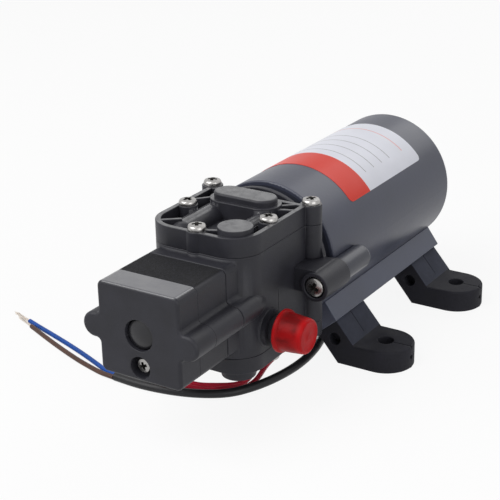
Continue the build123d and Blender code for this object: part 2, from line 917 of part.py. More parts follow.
def make_diaphragm():
    """Upper diaphragm: a clamped bead, a folded web and a recess for its clamp screw."""
    with BuildPart() as diaphragm:
        with BuildSketch(Plane.XY.offset(plate_bottom_z)):
            with Locations((0, chamber_y)):
                Circle(diaphragm_radius)
                Circle(drive_bore_radius, mode=Mode.SUBTRACT)
        extrude(amount=-bead_thickness)
        with BuildSketch(Plane.XY.offset(web_top_z)):
            with Locations((0, chamber_y)):
                Circle(drive_bore_radius)
        extrude(amount=-web_thickness)
        with BuildSketch(Plane.XY.offset(web_top_z)):
            with Locations((0, chamber_y)):
                Circle(drive_bore_radius - fold_width)
                Circle(drive_bore_radius - 2 * fold_width, mode=Mode.SUBTRACT)
                Circle(clamp_head_radius)
        extrude(amount=-clamp_head_thickness, mode=Mode.SUBTRACT)
        with BuildSketch(Plane.XY.offset(web_top_z)):
            with Locations((0, chamber_y)):
                Circle(clamp_stem_radius)
        extrude(amount=-web_thickness, mode=Mode.SUBTRACT)
    return diaphragm.part


def make_yoke():
    """Yoke round the eccentric's bearing, with a pad for each diaphragm."""
    inner_z = yoke_inner_height / 2
    with BuildPart() as yoke:
        with BuildSketch(across(chamber_y - yoke_thickness / 2, axis_height)):
            RectangleRounded(yoke_inner_width + 2 * yoke_wall, yoke_inner_height + 2 * yoke_wall, yoke_corner)
        extrude(amount=-yoke_thickness)
        for face_z, inward in ((web_bottom_z, -1), (lower_web_z, 1)):
            with BuildSketch(Plane.XY.offset(face_z)):
                with Locations((0, chamber_y)):
                    Circle(yoke_pad_radius)
            extrude(amount=inward * (abs(face_z - axis_height) - inner_z))
        with BuildSketch(across(chamber_y - yoke_pad_radius, axis_height)):
            RectangleRounded(yoke_inner_width, yoke_inner_height, yoke_corner - yoke_wall)
        extrude(amount=-2 * yoke_pad_radius, mode=Mode.SUBTRACT)
        for face_z, inward in ((web_bottom_z, -1), (lower_web_z, 1)):
            with BuildSketch(Plane.XY.offset(face_z)):
                with Locations((0, chamber_y)):
                    Circle(clamp_stem_radius)
            extrude(amount=inward * clamp_stem_length, mode=Mode.SUBTRACT)
    return yoke.part


def make_clamp_screws():
    """One flat screw through the middle of each diaphragm into the yoke."""
    under_head = web_thickness - clamp_head_thickness
    with BuildPart() as screws:
        for face_z, outward in ((web_bottom_z, 1), (lower_web_z, -1)):
            with BuildSketch(Plane.XY.offset(face_z + outward * under_head)):
                with Locations((0, chamber_y)):
                    Circle(clamp_head_radius)
            extrude(amount=outward * clamp_head_thickness)
            with BuildSketch(Plane.XY.offset(face_z + outward * under_head)):
                with Locations((0, chamber_y)):
                    Circle(clamp_stem_radius)
            extrude(amount=-outward * (clamp_stem_length + under_head))
    return screws.part


def make_bearing(plane, inner, outer, race, width, count):
    """Ball bearing as separate rings and balls, from the plane to the front."""
    ball_radius = (outer - inner) / 2 - race - fit_gap
    with BuildPart() as bearing:
        with BuildSketch(plane):
            Circle(outer)
            Circle(outer - race, mode=Mode.SUBTRACT)
            Circle(inner + race)
            Circle(inner, mode=Mode.SUBTRACT)
        extrude(amount=width)
        with Locations(plane.offset(width / 2)):
            with PolarLocations((inner + outer) / 2, count):
                Sphere(ball_radius)
    return bearing.part


def make_eccentric_bearing():
    """Ball bearing on the eccentric, which drives the yoke."""
    origin = (stroke, chamber_y + eccentric_bearing_width / 2, axis_height)
    plane = Plane(origin=origin, x_dir=(1, 0, 0), z_dir=(0, -1, 0))
    return make_bearing(
        plane,
        eccentric_radius,
        eccentric_bearing_radius,
        eccentric_race,
        eccentric_bearing_width,
        eccentric_ball_count,
    )


def make_front_bearing():
    """Ball bearing in the motor's front plate."""
    plane = across(bearing_front_y + front_bearing_width, axis_height)
    return make_bearing(
        plane,
        shaft_radius,
        front_bearing_radius,
        front_bearing_race,
        front_bearing_width,
        front_ball_count,
    )


def make_eccentric_hub():
    """Round hub that sits off the shaft's centre by the stroke."""
    with BuildPart() as hub:
        with BuildSketch(across(shaft_front_y, axis_height)):
            with Locations((stroke, 0)):
                Circle(eccentric_radius)
            Circle(shaft_radius, mode=Mode.SUBTRACT)
        extrude(amount=-eccentric_length)
    return hub.part


def make_port():
    """Right hose port: a grooved spigot, a collar, a neck and a ribbed hose tail."""
    outline = [
        (spigot_x, port_bore_radius),
        (spigot_x, port_socket_radius),
        (groove_x, port_socket_radius),
        (groove_x, port_socket_radius - port_seal_section),
        (groove_x + port_seal_section, port_socket_radius - port_seal_section),
        (groove_x + port_seal_section, port_socket_radius),
        (port_face_x, port_socket_radius),
        (port_face_x, port_collar_radius),
        (collar_x, port_collar_radius),
        (collar_x, port_neck_radius),
    ]
    for tooth in range(barb_count):
        outline.append((barb_start_x + tooth * barb_pitch, port_neck_radius))
        outline.append((barb_start_x + tooth * barb_pitch, barb_radius))
    outline.append((port_end_x, port_neck_radius))
    outline.append((port_end_x, port_bore_radius))
    with BuildPart() as port:
        with BuildSketch(across(port_y, port_z)):
            with BuildLine():
                Polyline(*outline, close=True)
            make_face()
        revolve(axis=Axis((0, port_y, port_z), (1, 0, 0)))
    return port.part


def make_port_seals():
    """A rubber ring in the groove of each port's spigot."""
    with BuildPart() as seals:
        with BuildSketch(sideways(groove_x, port_y, port_z)):
            Circle(port_socket_radius + fit_gap)
            Circle(port_socket_radius - port_seal_section, mode=Mode.SUBTRACT)
        extrude(amount=port_seal_section)
        mirror(about=Plane.YZ)
    return seals.part


def make_cap():
    """Right port's dust cap: a soft cup with a flared lip and a slight waist."""
    bore = barb_radius + cap_fit
    root_x = cap_open_x + cap_lip_thickness + cap_lip_slope
    bend_x = cap_end_x - cap_edge_round
    bend_middle = cap_edge_round / sqrt(2)
    with BuildPart() as cap:
        with BuildSketch(across(port_y, port_z)):
            with BuildLine():
                Polyline(
                    (cap_open_x, bore),
                    (cap_open_x, cap_lip_radius),
                    (cap_open_x + cap_lip_thickness, cap_lip_radius),
                    (root_x, cap_root_radius),
                )
                ThreePointArc(
                    (root_x, cap_root_radius),
                    ((root_x + bend_x) / 2, cap_waist_radius),
                    (bend_x, cap_end_radius),
                )
                ThreePointArc(
                    (bend_x, cap_end_radius),
                    (bend_x + bend_middle, cap_end_radius - cap_edge_round + bend_middle),
                    (cap_end_x, cap_end_radius - cap_edge_round),
                )
                Polyline(
                    (cap_end_x, cap_end_radius - cap_edge_round),
                    (cap_end_x, 0),
                    (cap_end_x - cap_wall, 0),
                    (cap_end_x - cap_wall, bore),
                    (cap_open_x, bore),
                )
            make_face()
        revolve(axis=Axis((0, port_y, port_z), (1, 0, 0)))
    return cap.part


def make_switch_cover():
    """Front half of the switch box, with the adjuster's tube and the screw's pillar."""
    outline = box_outline()
    with BuildPart() as cover:
        with BuildSketch(across(front_y, box_centre_z)):
            add(outline)
        extrude(amount=-cover_depth)
        fillet(cover.faces().sort_by(Axis.Y)[0].edges(), radius=box_edge_round)
        with BuildSketch(across(front_y + box_front_wall, box_centre_z)):
            RectangleRounded(box_width - 2 * box_wall, box_height - 2 * box_wall, box_corner / 2)
            Circle(adjuster_tube_radius, mode=Mode.SUBTRACT)
            with Locations((0, -switch_screw_drop)):
                Circle(switch_recess_radius + switch_pillar_wall, mode=Mode.SUBTRACT)
        extrude(amount=-cover_depth, mode=Mode.SUBTRACT)
        with BuildSketch(across(front_y, box_centre_z)):
            Circle(plug_radius + part_gap)
        extrude(amount=-plug_depth, mode=Mode.SUBTRACT)
        with BuildSketch(across(front_y, box_centre_z)):
            Circle(adjuster_bore_radius)
        extrude(amount=-cover_depth, mode=Mode.SUBTRACT)
        with BuildSketch(across(front_y, box_centre_z - switch_screw_drop)):
            Circle(switch_recess_radius)
        extrude(amount=-switch_screw_recess, mode=Mode.SUBTRACT)
        with BuildSketch(across(front_y, box_centre_z - switch_screw_drop)):
            Circle(shank_radius + fit_gap)
        extrude(amount=-cover_depth, mode=Mode.SUBTRACT)
    return cover.part


def make_switch_housing():
    """Rear half of the switch box, with the plunger's hole and the diaphragm's seat."""
    outline = box_outline()
    with BuildPart() as housing:
        with BuildSketch(across(split_y, box_centre_z)):
            add(outline)
        extrude(amount=-housing_depth)
        with BuildSketch(across(split_y, box_centre_z)):
            RectangleRounded(box_width - 2 * box_wall, box_height - 2 * box_wall, box_corner / 2)
            with Locations((0, -switch_screw_drop)):
                Circle(switch_recess_radius, mode=Mode.SUBTRACT)
        extrude(amount=box_rear_wall - housing_depth, mode=Mode.SUBTRACT)
        with BuildSketch(across(split_y, box_centre_z)):
            with Locations((0, -switch_screw_drop)):
                Circle(shank_radius + fit_gap)
            Circle(plunger_radius + fit_gap)
        extrude(amount=-housing_depth, mode=Mode.SUBTRACT)
        with BuildSketch(across(flange_y, box_centre_z)):
            Circle(switch_diaphragm_radius + fit_gap)
        extrude(amount=switch_diaphragm_thickness, mode=Mode.SUBTRACT)
        with BuildSketch(Plane.XY.offset(box_bottom_z)):
            with Locations((switch_gland_x, switch_gland_y)):
                Circle(switch_gland_radius)
        extrude(amount=box_wall, mode=Mode.SUBTRACT)
    return housing.part


def make_switch_plug():
    """Domed plug over the pressure adjuster, set a little below the cover's face."""
    dome_y = front_y + plug_inset
    seat_y = front_y + plug_depth
    rim = (dome_y + plug_dome, box_centre_z + plug_radius)
    with BuildPart() as plug:
        with BuildSketch(Plane.YZ):
            with BuildLine():
                TangentArc((dome_y, box_centre_z), rim, tangent=(0, 1))
                Polyline(rim, (seat_y, rim[1]), (seat_y, box_centre_z), (dome_y, box_centre_z))
            make_face()
        revolve(axis=Axis((0, 0, box_centre_z), (0, 1, 0)))
        with BuildSketch(across(front_y + plug_depth, box_centre_z)):
            Circle(plug_stem_radius)
        extrude(amount=-plug_stem_length)
    return plug.part


def make_adjuster():
    """Slotted disc that sets the spring's load, in the cover's tube."""
    with BuildPart() as adjuster:
        with BuildSketch(across(adjuster_back_y, box_centre_z)):
            Circle(adjuster_bore_radius - fit_gap)
        extrude(amount=adjuster_length)
        with BuildSketch(across(adjuster_back_y - adjuster_length, box_centre_z)):
            Rectangle(2 * adjuster_bore_radius, adjuster_slot)
        extrude(amount=-adjuster_slot, mode=Mode.SUBTRACT)
    return adjuster.part


def make_switch_screw():
    """Long screw in the cover's lower recess, through the box into the pump body."""
    seat_y = front_y + switch_screw_recess
    length = flange_y - seat_y + switch_screw_grip
    screw = make_screw(switch_head_radius, switch_head_thickness, shank_radius, length)
    seat = Plane(
        origin=(0, seat_y, box_centre_z - switch_screw_drop),
        x_dir=(1, 0, 1),
        z_dir=(0, -1, 0),
    )
    with BuildPart() as placed:
        with Locations(seat):
            add(screw)
    return placed.part


def make_switch_diaphragm():
    """Round rubber diaphragm between the switch and the pump body."""
    with BuildPart() as diaphragm:
        with BuildSketch(across(flange_y, box_centre_z)):
            Circle(switch_diaphragm_radius)
        extrude(amount=switch_diaphragm_thickness)
        with BuildSketch(across(flange_y, box_centre_z)):
            Circle(switch_diaphragm_radius - switch_diaphragm_thickness)
        extrude(amount=switch_diaphragm_thickness / 2, mode=Mode.SUBTRACT)
    return diaphragm.part


def make_plunger():
    """Plunger on the diaphragm: a foot, a spring collar, a rod and an arm to the switch."""
    with BuildPart() as plunger:
        with BuildSketch(across(plunger_back_y, box_centre_z)):
            Circle(plunger_radius)
        extrude(amount=plunger_back_y - collar_back_y)
        with BuildSketch(across(collar_back_y, box_centre_z)):
            Circle(plunger_collar_radius)
            with Locations((0, plunger_arm_rise / 2)):
                Rectangle(plunger_arm_width, plunger_arm_rise)
        extrude(amount=plunger_collar_thickness)
        with BuildSketch(across(collar_front_y, box_centre_z)):
            Circle(plunger_rod_radius)
        extrude(amount=plunger_rod_length)
    return plunger.part


def make_spring():
    """Compression spring between the adjuster and the plunger's collar."""
    height = collar_front_y - adjuster_back_y - spring_wire
    steps = 8 * spring_turns
    print("pressure spring, least gap between turns", round(height / spring_turns - spring_wire, 2))
    points = []
    for step in range(steps + 1):
        turn = step * pi / 4
        y = adjuster_back_y + spring_wire / 2 + height * step / steps
        points.append((spring_radius * cos(turn), y, box_centre_z + spring_radius * sin(turn)))
    with BuildPart() as spring:
        with BuildLine() as path:
            for step in range(0, steps, 2):
                ThreePointArc(*points[step : step + 3])
        with BuildSketch(Plane(origin=path.line @ 0, z_dir=path.line % 0)):
            Circle(spring_wire / 2)
        sweep()
    return spring.part


def make_microswitch():
    """Small snap switch that hangs from the housing's roof, with three blades."""
    centre_z = box_centre_z + box_room - microswitch_height / 2
    with BuildPart() as switch:
        with BuildSketch(across(microswitch_back_y, centre_z)):
            Rectangle(microswitch_width, microswitch_height)
        extrude(amount=microswitch_depth)
        with BuildSketch(across(microswitch_back_y, box_centre_z + box_room - button_drop)):
            Rectangle(button_width + 2 * fit_gap, button_height + 2 * fit_gap)
        extrude(amount=button_depth, mode=Mode.SUBTRACT)
        with BuildSketch(across(microswitch_back_y - microswitch_depth, centre_z)):
            with GridLocations((microswitch_width - 2 * terminal_width) / 2, 0, 3, 1):
                Rectangle(terminal_width, terminal_thickness)
        extrude(amount=terminal_length)
    return switch.part


def make_button():
    """Push button of the snap switch."""
    button_length = button_rise - fit_gap + button_depth - plunger_travel - part_gap
    with BuildPart() as button:
        with BuildSketch(across(collar_front_y - fit_gap, box_centre_z + box_room - button_drop)):
            Rectangle(button_width, button_height)
        extrude(amount=button_length)
    return button.part


def make_switch_gland():
    """Rubber bush in the switch box's floor, where its two leads go in."""
    with BuildPart() as gland:
        with BuildSketch(Plane.XY.offset(gland_face_z)):
            with Locations((switch_gland_x, switch_gland_y)):
                Circle(switch_gland_radius + switch_gland_flange)
        extrude(amount=switch_gland_drop)
        fillet(gland.faces().sort_by(Axis.Z)[0].edges(), radius=switch_gland_flange / 2)
        with BuildSketch(Plane.XY.offset(box_bottom_z)):
            with Locations((switch_gland_x, switch_gland_y)):
                Circle(switch_gland_radius)
        extrude(amount=box_wall)
    return gland.part


def grommet_slot(margin=0.0):
    """Plan of the slot through which the leads leave the motor."""
    with BuildSketch(Plane.XY, mode=Mode.PRIVATE) as slot:
        with Locations((lead_exit_x, lead_exit_y)):
            SlotOverall(2 * (grommet_half_length + margin), 2 * (grommet_half_width + margin))
    return slot.sketch


def make_can():
    """Deep-drawn motor can: open at the front, with the rear bush's seat inside."""
    slot = grommet_slot()
    with BuildPart() as can:
        with BuildSketch(across(can_front_y, axis_height)):
            Circle(can_radius)
        extrude(amount=-can_length)
        fillet(can.faces().sort_by(Axis.Y)[-1].edges(), radius=can_edge_round)
        fillet(can.faces().sort_by(Axis.Y)[0].edges(), radius=can_mouth_round)
        with BuildSketch(across(can_front_y, axis_height)):
            Circle(can_inner_radius)
        extrude(amount=can_end_wall - can_length, mode=Mode.SUBTRACT)
        with BuildSketch(across(can_end_y, axis_height)):
            Circle(bush_radius + bush_seat_wall)
            Circle(bush_radius, mode=Mode.SUBTRACT)
        extrude(amount=bush_length)
        with BuildSketch(Plane.XY.offset(saddle_floor_z)):
            add(slot)
        extrude(amount=2 * grommet_rise + can_bottom_z - saddle_floor_z, mode=Mode.SUBTRACT)
    return can.part


def make_front_plate():
    """Motor's front plate: a neck, a spigot in the can and a boss for the bearing."""
    with BuildPart() as plate:
        with BuildSketch(across(body_back_y, axis_height)):
            Circle(plate_neck_radius)
        extrude(amount=-plate_gap)
        with BuildSketch(Plane.XY):
            with Locations(*rear_screws):
                Circle(outer_boss_radius + part_gap)
        extrude(amount=2 * axis_height, mode=Mode.SUBTRACT)
        with BuildSketch(across(can_front_y, axis_height)):
            Circle(can_inner_radius - fit_gap)
        extrude(amount=-plate_spigot_length)
        with BuildSketch(across(body_back_y, axis_height)):
            Circle(plate_boss_radius)
        extrude(amount=plate_boss_length)
        with BuildSketch(across(body_back_y - plate_boss_length, axis_height)):
            Circle(front_bearing_radius)
        extrude(amount=-front_bearing_inset - front_bearing_width, mode=Mode.SUBTRACT)
        with BuildSketch(across(body_back_y - plate_boss_length, axis_height)):
            Circle(shaft_radius + part_gap)
        extrude(amount=-plate_boss_length - plate_gap - plate_spigot_length, mode=Mode.SUBTRACT)
    return plate.part


def make_magnets():
    """Two arc magnets inside the can, one on each side."""
    half_gap = radians((180 - magnet_angle) / 2)
    reach_x = 2 * can_radius * sin(half_gap)
    reach_z = 2 * can_radius * cos(half_gap)
    with BuildPart() as magnets:
        with BuildSketch(across(magnet_y, axis_height)):
            Circle(can_inner_radius)
            Circle(can_inner_radius - magnet_thickness, mode=Mode.SUBTRACT)
            for z in (reach_z, -reach_z):
                with BuildLine():
                    Polyline((0, 0), (reach_x, z), (-reach_x, z), close=True)
                make_face(mode=Mode.SUBTRACT)
        extrude(amount=-magnet_length)
    return magnets.part


def make_shaft():
    """Motor shaft from the eccentric to the rear bush."""
    with BuildPart() as shaft:
        with BuildSketch(across(shaft_front_y, axis_height)):
            Circle(shaft_radius)
        extrude(amount=shaft_front_y - shaft_back_y)
    return shaft.part


def make_core():
    """Slotted iron core of the armature."""
    with BuildPart() as core:
        with BuildSketch(across(core_y, axis_height)):
            Circle(core_radius)
            Circle(shaft_radius, mode=Mode.SUBTRACT)
            with PolarLocations(core_radius - slot_depth / 2, core_slots):
                Rectangle(slot_depth, slot_width, mode=Mode.SUBTRACT)
        extrude(amount=-core_length)
    return core.part


def make_windings():
    """Copper windings: a bar in each slot and a ring of end turns at each end."""
    bar_depth = slot_depth - end_turn_margin
    with BuildPart() as windings:
        with BuildSketch(across(core_y, axis_height)):
            with PolarLocations(core_radius - slot_depth + bar_depth / 2, core_slots):
                Rectangle(bar_depth, slot_width)
        extrude(amount=-core_length)
        for ring_y in (core_y - end_turn_length, core_y + core_length):
            with BuildSketch(across(ring_y, axis_height)):
                Circle(core_radius - end_turn_margin)
                Circle(end_turn_inner_radius, mode=Mode.SUBTRACT)
            extrude(amount=-end_turn_length)
    return windings.part


def make_commutator():
    """Copper commutator with a slit between its segments."""
    with BuildPart() as commutator:
        with BuildSketch(across(commutator_y, axis_height)):
            Circle(commutator_radius)
            Circle(shaft_radius, mode=Mode.SUBTRACT)
            with PolarLocations(commutator_radius - commutator_slit_depth / 2, core_slots):
                Rectangle(commutator_slit_depth, commutator_slit, mode=Mode.SUBTRACT)
        extrude(amount=-commutator_length)
    return commutator.part


def make_rear_bush():
    """Plain bearing in the can's end wall."""
    with BuildPart() as bush:
        with BuildSketch(across(can_end_y, axis_height)):
            Circle(bush_radius)
            Circle(shaft_radius + fit_gap, mode=Mode.SUBTRACT)
        extrude(amount=bush_length)
    return bush.part


def make_brush_holder():
    """Round plate behind the commutator, with a tube for each brush."""
    tube_front_y = brush_y - brush_width / 2 - brush_tube_wall
    tube_inner_x = brush_x + brush_tube_wall
    tube_length = can_inner_radius - magnet_thickness - tube_inner_x
    lead_notch = grommet_slot(part_gap)
    with BuildPart() as holder:
        with BuildSketch(across(brush_plate_y, axis_height)):
            Circle(can_inner_radius - fit_gap)
            Circle(brush_plate_hole_radius, mode=Mode.SUBTRACT)
        extrude(amount=-brush_plate_thickness)
        with BuildSketch(across(brush_plate_y, axis_height)):
            with Locations(*both_sides(tube_inner_x + tube_length / 2)):
                Rectangle(tube_length, brush_height + 2 * brush_tube_wall)
        extrude(amount=brush_plate_y - tube_front_y)
        with BuildSketch(sideways(-can_inner_radius, brush_y, axis_height)):
            Rectangle(brush_width + 2 * fit_gap, brush_height + 2 * fit_gap)
        extrude(amount=2 * can_inner_radius, mode=Mode.SUBTRACT)
        with BuildSketch(Plane.XY.offset(can_bottom_z)):
            add(lead_notch)
        extrude(amount=grommet_rise + part_gap, mode=Mode.SUBTRACT)
    return holder.part


def make_brushes():
    """Two carbon brushes, one on each side of the commutator."""
    with BuildPart() as brushes:
        with BuildSketch(sideways(brush_x, brush_y, axis_height)):
            Rectangle(brush_width, brush_height)
        extrude(amount=brush_length)
        mirror(about=Plane.YZ)
    return brushes.part


def make_motor_screws():
    """Two long screws that hold the motor to the pump body."""
    length = boss_back_y - screw_seat_y + motor_screw_thread
    screw = make_screw(motor_head_radius, motor_head_thickness, motor_screw_radius, length)
    with BuildPart() as screws:
        for side in (1, -1):
            seat = Plane(
                origin=(side * motor_screw_x, screw_seat_y, motor_screw_z),
                x_dir=(2, 0, side),
                z_dir=(0, -1, 0),
            )
            with Locations(seat):
                add(screw)
    return screws.part


def make_barrels():
    """Threaded barrels on the can's sides, which take the motor screws."""
    with BuildPart() as barrels:
        with BuildSketch(across(barrel_front_y, motor_screw_z)):
            with Locations(*both_sides(motor_screw_x)):
                Circle(barrel_radius)
        extrude(amount=-barrel_length)
        fillet(barrels.faces().filter_by(Axis.Y).group_by(Axis.Y)[-1].edges(), radius=barrel_round)
        with BuildSketch(across(barrel_front_y, motor_screw_z)):
            with Locations(*both_sides(motor_screw_x)):
                Circle(motor_screw_radius + fit_gap)
        extrude(amount=-motor_screw_thread - part_gap, mode=Mode.SUBTRACT)
        with BuildSketch(across(can_front_y, axis_height)):
            Circle(can_radius)
        extrude(amount=-can_length, mode=Mode.SUBTRACT)
    return barrels.part


def make_label():
    """Thin label bent over the top of the can, with rounded corners."""
    reach_x = 2 * can_radius * sin(radians(label_angle))
    reach_z = 2 * can_radius * cos(radians(label_angle))
    with BuildPart() as label:
        with BuildSketch(across(can_front_y + label_setback, axis_height)):
            Circle(can_radius + label_thickness)
            Circle(can_radius, mode=Mode.SUBTRACT)
            with BuildLine():
                Polyline((0, 0), (reach_x, reach_z), (-reach_x, reach_z), close=True)
            make_face(mode=Mode.INTERSECT)
        extrude(amount=-label_length)
        corners = label.edges().filter_by(lambda edge: edge.length < 2 * label_thickness)
        fillet(corners, radius=label_corner)
    return label.part


def make_grommet():
    """Rubber grommet through the bracket and the can, where the leads leave the motor."""
    neck = grommet_slot()
    flange = grommet_slot(grommet_flange)
    with BuildPart() as grommet:
        with BuildSketch(Plane.XY.offset(lead_exit_z)):
            add(flange)
        extrude(amount=grommet_drop)
        fillet(grommet.faces().sort_by(Axis.Z)[0].edges(), radius=grommet_flange / 2)
        with BuildSketch(Plane.XY.offset(saddle_floor_z)):
            add(neck)
        extrude(amount=can_bottom_z + grommet_rise - saddle_floor_z)
    return grommet.part


def underside_point(distance, drop=0.0):
    """Point along the flank's slanted underside, and then square to it."""
    lean = radians(leg_lean)
    x = flank_bottom_x - distance * cos(lean) + drop * sin(lean)
    z = flank_bottom_z - distance * sin(lean) - drop * cos(lean)
    return x, z


def leg_plane(side, y, gap=0.0):
    """Plane on the slanted underside at a leg, facing down the leg."""
    x, z = underside_point(flank_lip + upright_thickness / 2, -gap)
    lean = radians(leg_lean)
    return Plane(
        origin=(side * x, y, z),
        x_dir=(side * cos(lean), 0, sin(lean)),
        z_dir=(side * sin(lean), 0, -cos(lean)),
    )


def make_bracket():
    """Saddle under the can, with a slanted leg inside each foot."""
    slot = grommet_slot()
    flank_top_z = axis_height - sqrt(can_radius**2 - flank_top_x**2)
    toe_x, toe_z = underside_point(flank_lip + upright_thickness)
    with BuildPart() as bracket:
        with BuildSketch(across(bracket_y)):
            with BuildLine():
                Polyline(
                    (-flank_top_x, flank_top_z),
                    (-flank_bottom_x, flank_bottom_z),
                    (-toe_x, toe_z),
                    (-saddle_floor_x, saddle_floor_z),
                    (saddle_floor_x, saddle_floor_z),
                    (toe_x, toe_z),
                    (flank_bottom_x, flank_bottom_z),
                    (flank_top_x, flank_top_z),
                )
                ThreePointArc((flank_top_x, flank_top_z), (0, can_bottom_z), (-flank_top_x, flank_top_z))
            make_face()
        extrude(amount=-bracket_length)
        for side in (1, -1):
            for y in (foot_front_y, foot_rear_y):
                with BuildSketch(leg_plane(side, y)):
                    Rectangle(leg_thickness, leg_width)
                extrude(amount=leg_length)
        with BuildSketch(Plane.XY.offset(saddle_floor_z)):
            add(slot)
        extrude(amount=axis_height, mode=Mode.SUBTRACT)
    return bracket.part


def make_foot(y):
    """Right-hand rubber foot: a leaning upright over a pad with a screw hole."""
    slope = tan(radians(leg_lean))
    crown_x, crown_z = underside_point(flank_lip)
    heel_x, heel_z = underside_point(flank_lip + upright_thickness)
    hole_x, hole_z = underside_point(flank_lip + upright_thickness / 2, foot_side_hole_drop)
    with BuildPart() as foot:
        with BuildSketch(across(y - foot_pad_radius)):
            with BuildLine():
                Polyline(
                    (crown_x, crown_z),
                    (crown_x + (crown_z - foot_pad_height) * slope, foot_pad_height),
                    (foot_tip_x, foot_pad_height),
                    (foot_tip_x, 0),
                    (heel_x + heel_z * slope, 0),
                    (heel_x, heel_z),
                    close=True,
                )
            make_face()
        extrude(amount=-2 * foot_pad_radius)
        with BuildSketch(Plane.XY):
            with Locations((foot_hole_x, y)):
                Circle(foot_pad_radius)
            with Locations((foot_hole_x / 2, y)):
                Rectangle(foot_hole_x, 2 * foot_pad_radius)
        extrude(amount=axis_height, mode=Mode.INTERSECT)
        rims = foot.faces().filter_by(Axis.Z).sort_by(Axis.Z)[-1].edges()
        fillet(rims.filter_by(lambda edge: edge.center().X > crown_x + upright_thickness), radius=foot_round)
        with BuildSketch(leg_plane(1, y)):
            Rectangle(leg_thickness + 2 * fit_gap, leg_width + 2 * fit_gap)
        extrude(amount=leg_length + fit_gap, mode=Mode.SUBTRACT)
        with BuildSketch(Plane.XY):
            with Locations((foot_hole_x, y)):
                Circle(foot_hole_radius)
        extrude(amount=foot_pad_height, mode=Mode.SUBTRACT)
        with BuildSketch(across(y - foot_pad_radius)):
            with Locations((hole_x, hole_z)):
                Circle(foot_side_hole_radius)
        extrude(amount=-foot_side_hole_depth, mode=Mode.SUBTRACT)
    return foot.part


def corner_radii(route):
    """Radius of each corner's arc, as large as the two runs at the corner allow."""
    radii = []
    for before, corner, after in zip(route, route[1:], route[2:]):
        arriving = Vector(corner) - Vector(before)
        leaving = Vector(after) - Vector(corner)
        half_turn = radians(arriving.get_angle(leaving) / 2)
        radii.append(bend_share * min(arriving.length, leaving.length) / tan(half_turn))
    return radii


def make_lead(name, route, radius):
    """Round lead along a route of straight runs joined by tangent arcs."""
    radii = corner_radii(route)
    with BuildPart() as lead:
        with BuildLine() as path:
            FilletPolyline(*route, radius=radii)
        with BuildSketch(Plane(origin=path.line @ 0, z_dir=path.line % 0)):
            Circle(radius)
        sweep()
    length = path.wires()[0].length
    print(name, "length", round(length, 1), "radii", [round(value, 1) for value in radii])
    print(name, "volume over section times length", round(lead.part.volume / (pi * radius**2 * length), 4))
    return lead.part


def make_stripped_ends():
    """Tinned strands that stick out of the blue and the brown wire."""
    with BuildPart() as ends:
        for route in (blue_route, brown_route):
            end = Vector(route[-1])
            with BuildSketch(Plane(origin=end, z_dir=end - Vector(route[-2]))):
                Circle(strand_radius)
            extrude(amount=strand_length)
    return ends.part


os.makedirs("parts", exist_ok=True)

upper_pieces = {
    "valve_plate": make_valve_plate(),
    "cover_seal": make_cover_seal(),
    "check_valves": make_check_valves(),
    "diaphragm": make_diaphragm(),
}
for name, piece in upper_pieces.items():
    finish(piece, "upper_" + name)
    finish(mirror(piece, about=middle), "lower_" + name)
finish(make_cover(cover_height), "upper_cover")
finish(make_cover_screws(cover_height), "upper_cover_screws")
finish(mirror(make_cover(lower_cover_height), about=middle), "lower_cover")
finish(mirror(make_cover_screws(lower_cover_height), about=middle), "lower_cover_screws")

port = make_port()
cap = make_cap()
finish(port, "outlet_port")
finish(mirror(port, about=Plane.YZ), "inlet_port")
finish(cap, "outlet_cap")
finish(mirror(cap, about=Plane.YZ), "inlet_cap")
finish(make_port_seals(), "port_seals")

for place, y in (("front", foot_front_y), ("rear", foot_rear_y)):
    foot = make_foot(y)
    finish(foot, f"foot_{place}_right")
    finish(mirror(foot, about=Plane.YZ), f"foot_{place}_left")

finish(make_body(), "pump_body")
finish(make_yoke(), "yoke")
finish(make_clamp_screws(), "diaphragm_clamps")
finish(make_eccentric_hub(), "eccentric_hub")
finish(make_eccentric_bearing(), "eccentric_bearing")

finish(make_switch_cover(), "switch_cover")
finish(make_switch_housing(), "switch_housing")
finish(make_switch_plug(), "switch_plug")
finish(make_adjuster(), "pressure_adjusting_screw")
finish(make_switch_screw(), "switch_screw")
finish(make_switch_diaphragm(), "switch_diaphragm")
finish(make_plunger(), "switch_plunger")
finish(make_spring(), "switch_spring")
finish(make_microswitch(), "microswitch")
finish(make_button(), "microswitch_button")
finish(make_switch_gland(), "switch_lead_gland")

finish(make_can(), "motor_can")
finish(make_front_plate(), "motor_front_plate")
finish(make_magnets(), "motor_magnets")
finish(make_front_bearing(), "front_bearing")
finish(make_rear_bush(), "rear_bearing")
finish(make_shaft(), "motor_shaft")
finish(make_core(), "armature_core")
finish(make_windings(), "armature_windings")
finish(make_commutator(), "commutator")
finish(make_brush_holder(), "brush_holder")
finish(make_brushes(), "brushes")
finish(make_motor_screws(), "motor_screws")
finish(make_barrels(), "motor_screw_barrels")
finish(make_label(), "motor_label")
finish(make_grommet(), "motor_lead_grommet")
finish(make_bracket(), "base_bracket")

finish(make_lead("supply lead jacket", jacket_route, jacket_radius), "supply_lead_jacket")
finish(make_lead("blue supply wire", blue_route, wire_radius), "blue_supply_wire")
finish(make_lead("brown supply wire", brown_route, wire_radius), "brown_supply_wire")
finish(make_stripped_ends(), "stripped_wire_ends")
finish(make_lead("near switch lead", near_lead_route, switch_lead_radius), "switch_lead_near")
finish(make_lead("far switch lead", far_lead_route, switch_lead_radius), "switch_lead_far")
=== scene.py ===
"""Builds the look of a camper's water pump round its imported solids."""

import json
from math import cos, pi, radians, sin

import bmesh
import bpy
from mathutils import Matrix, Vector


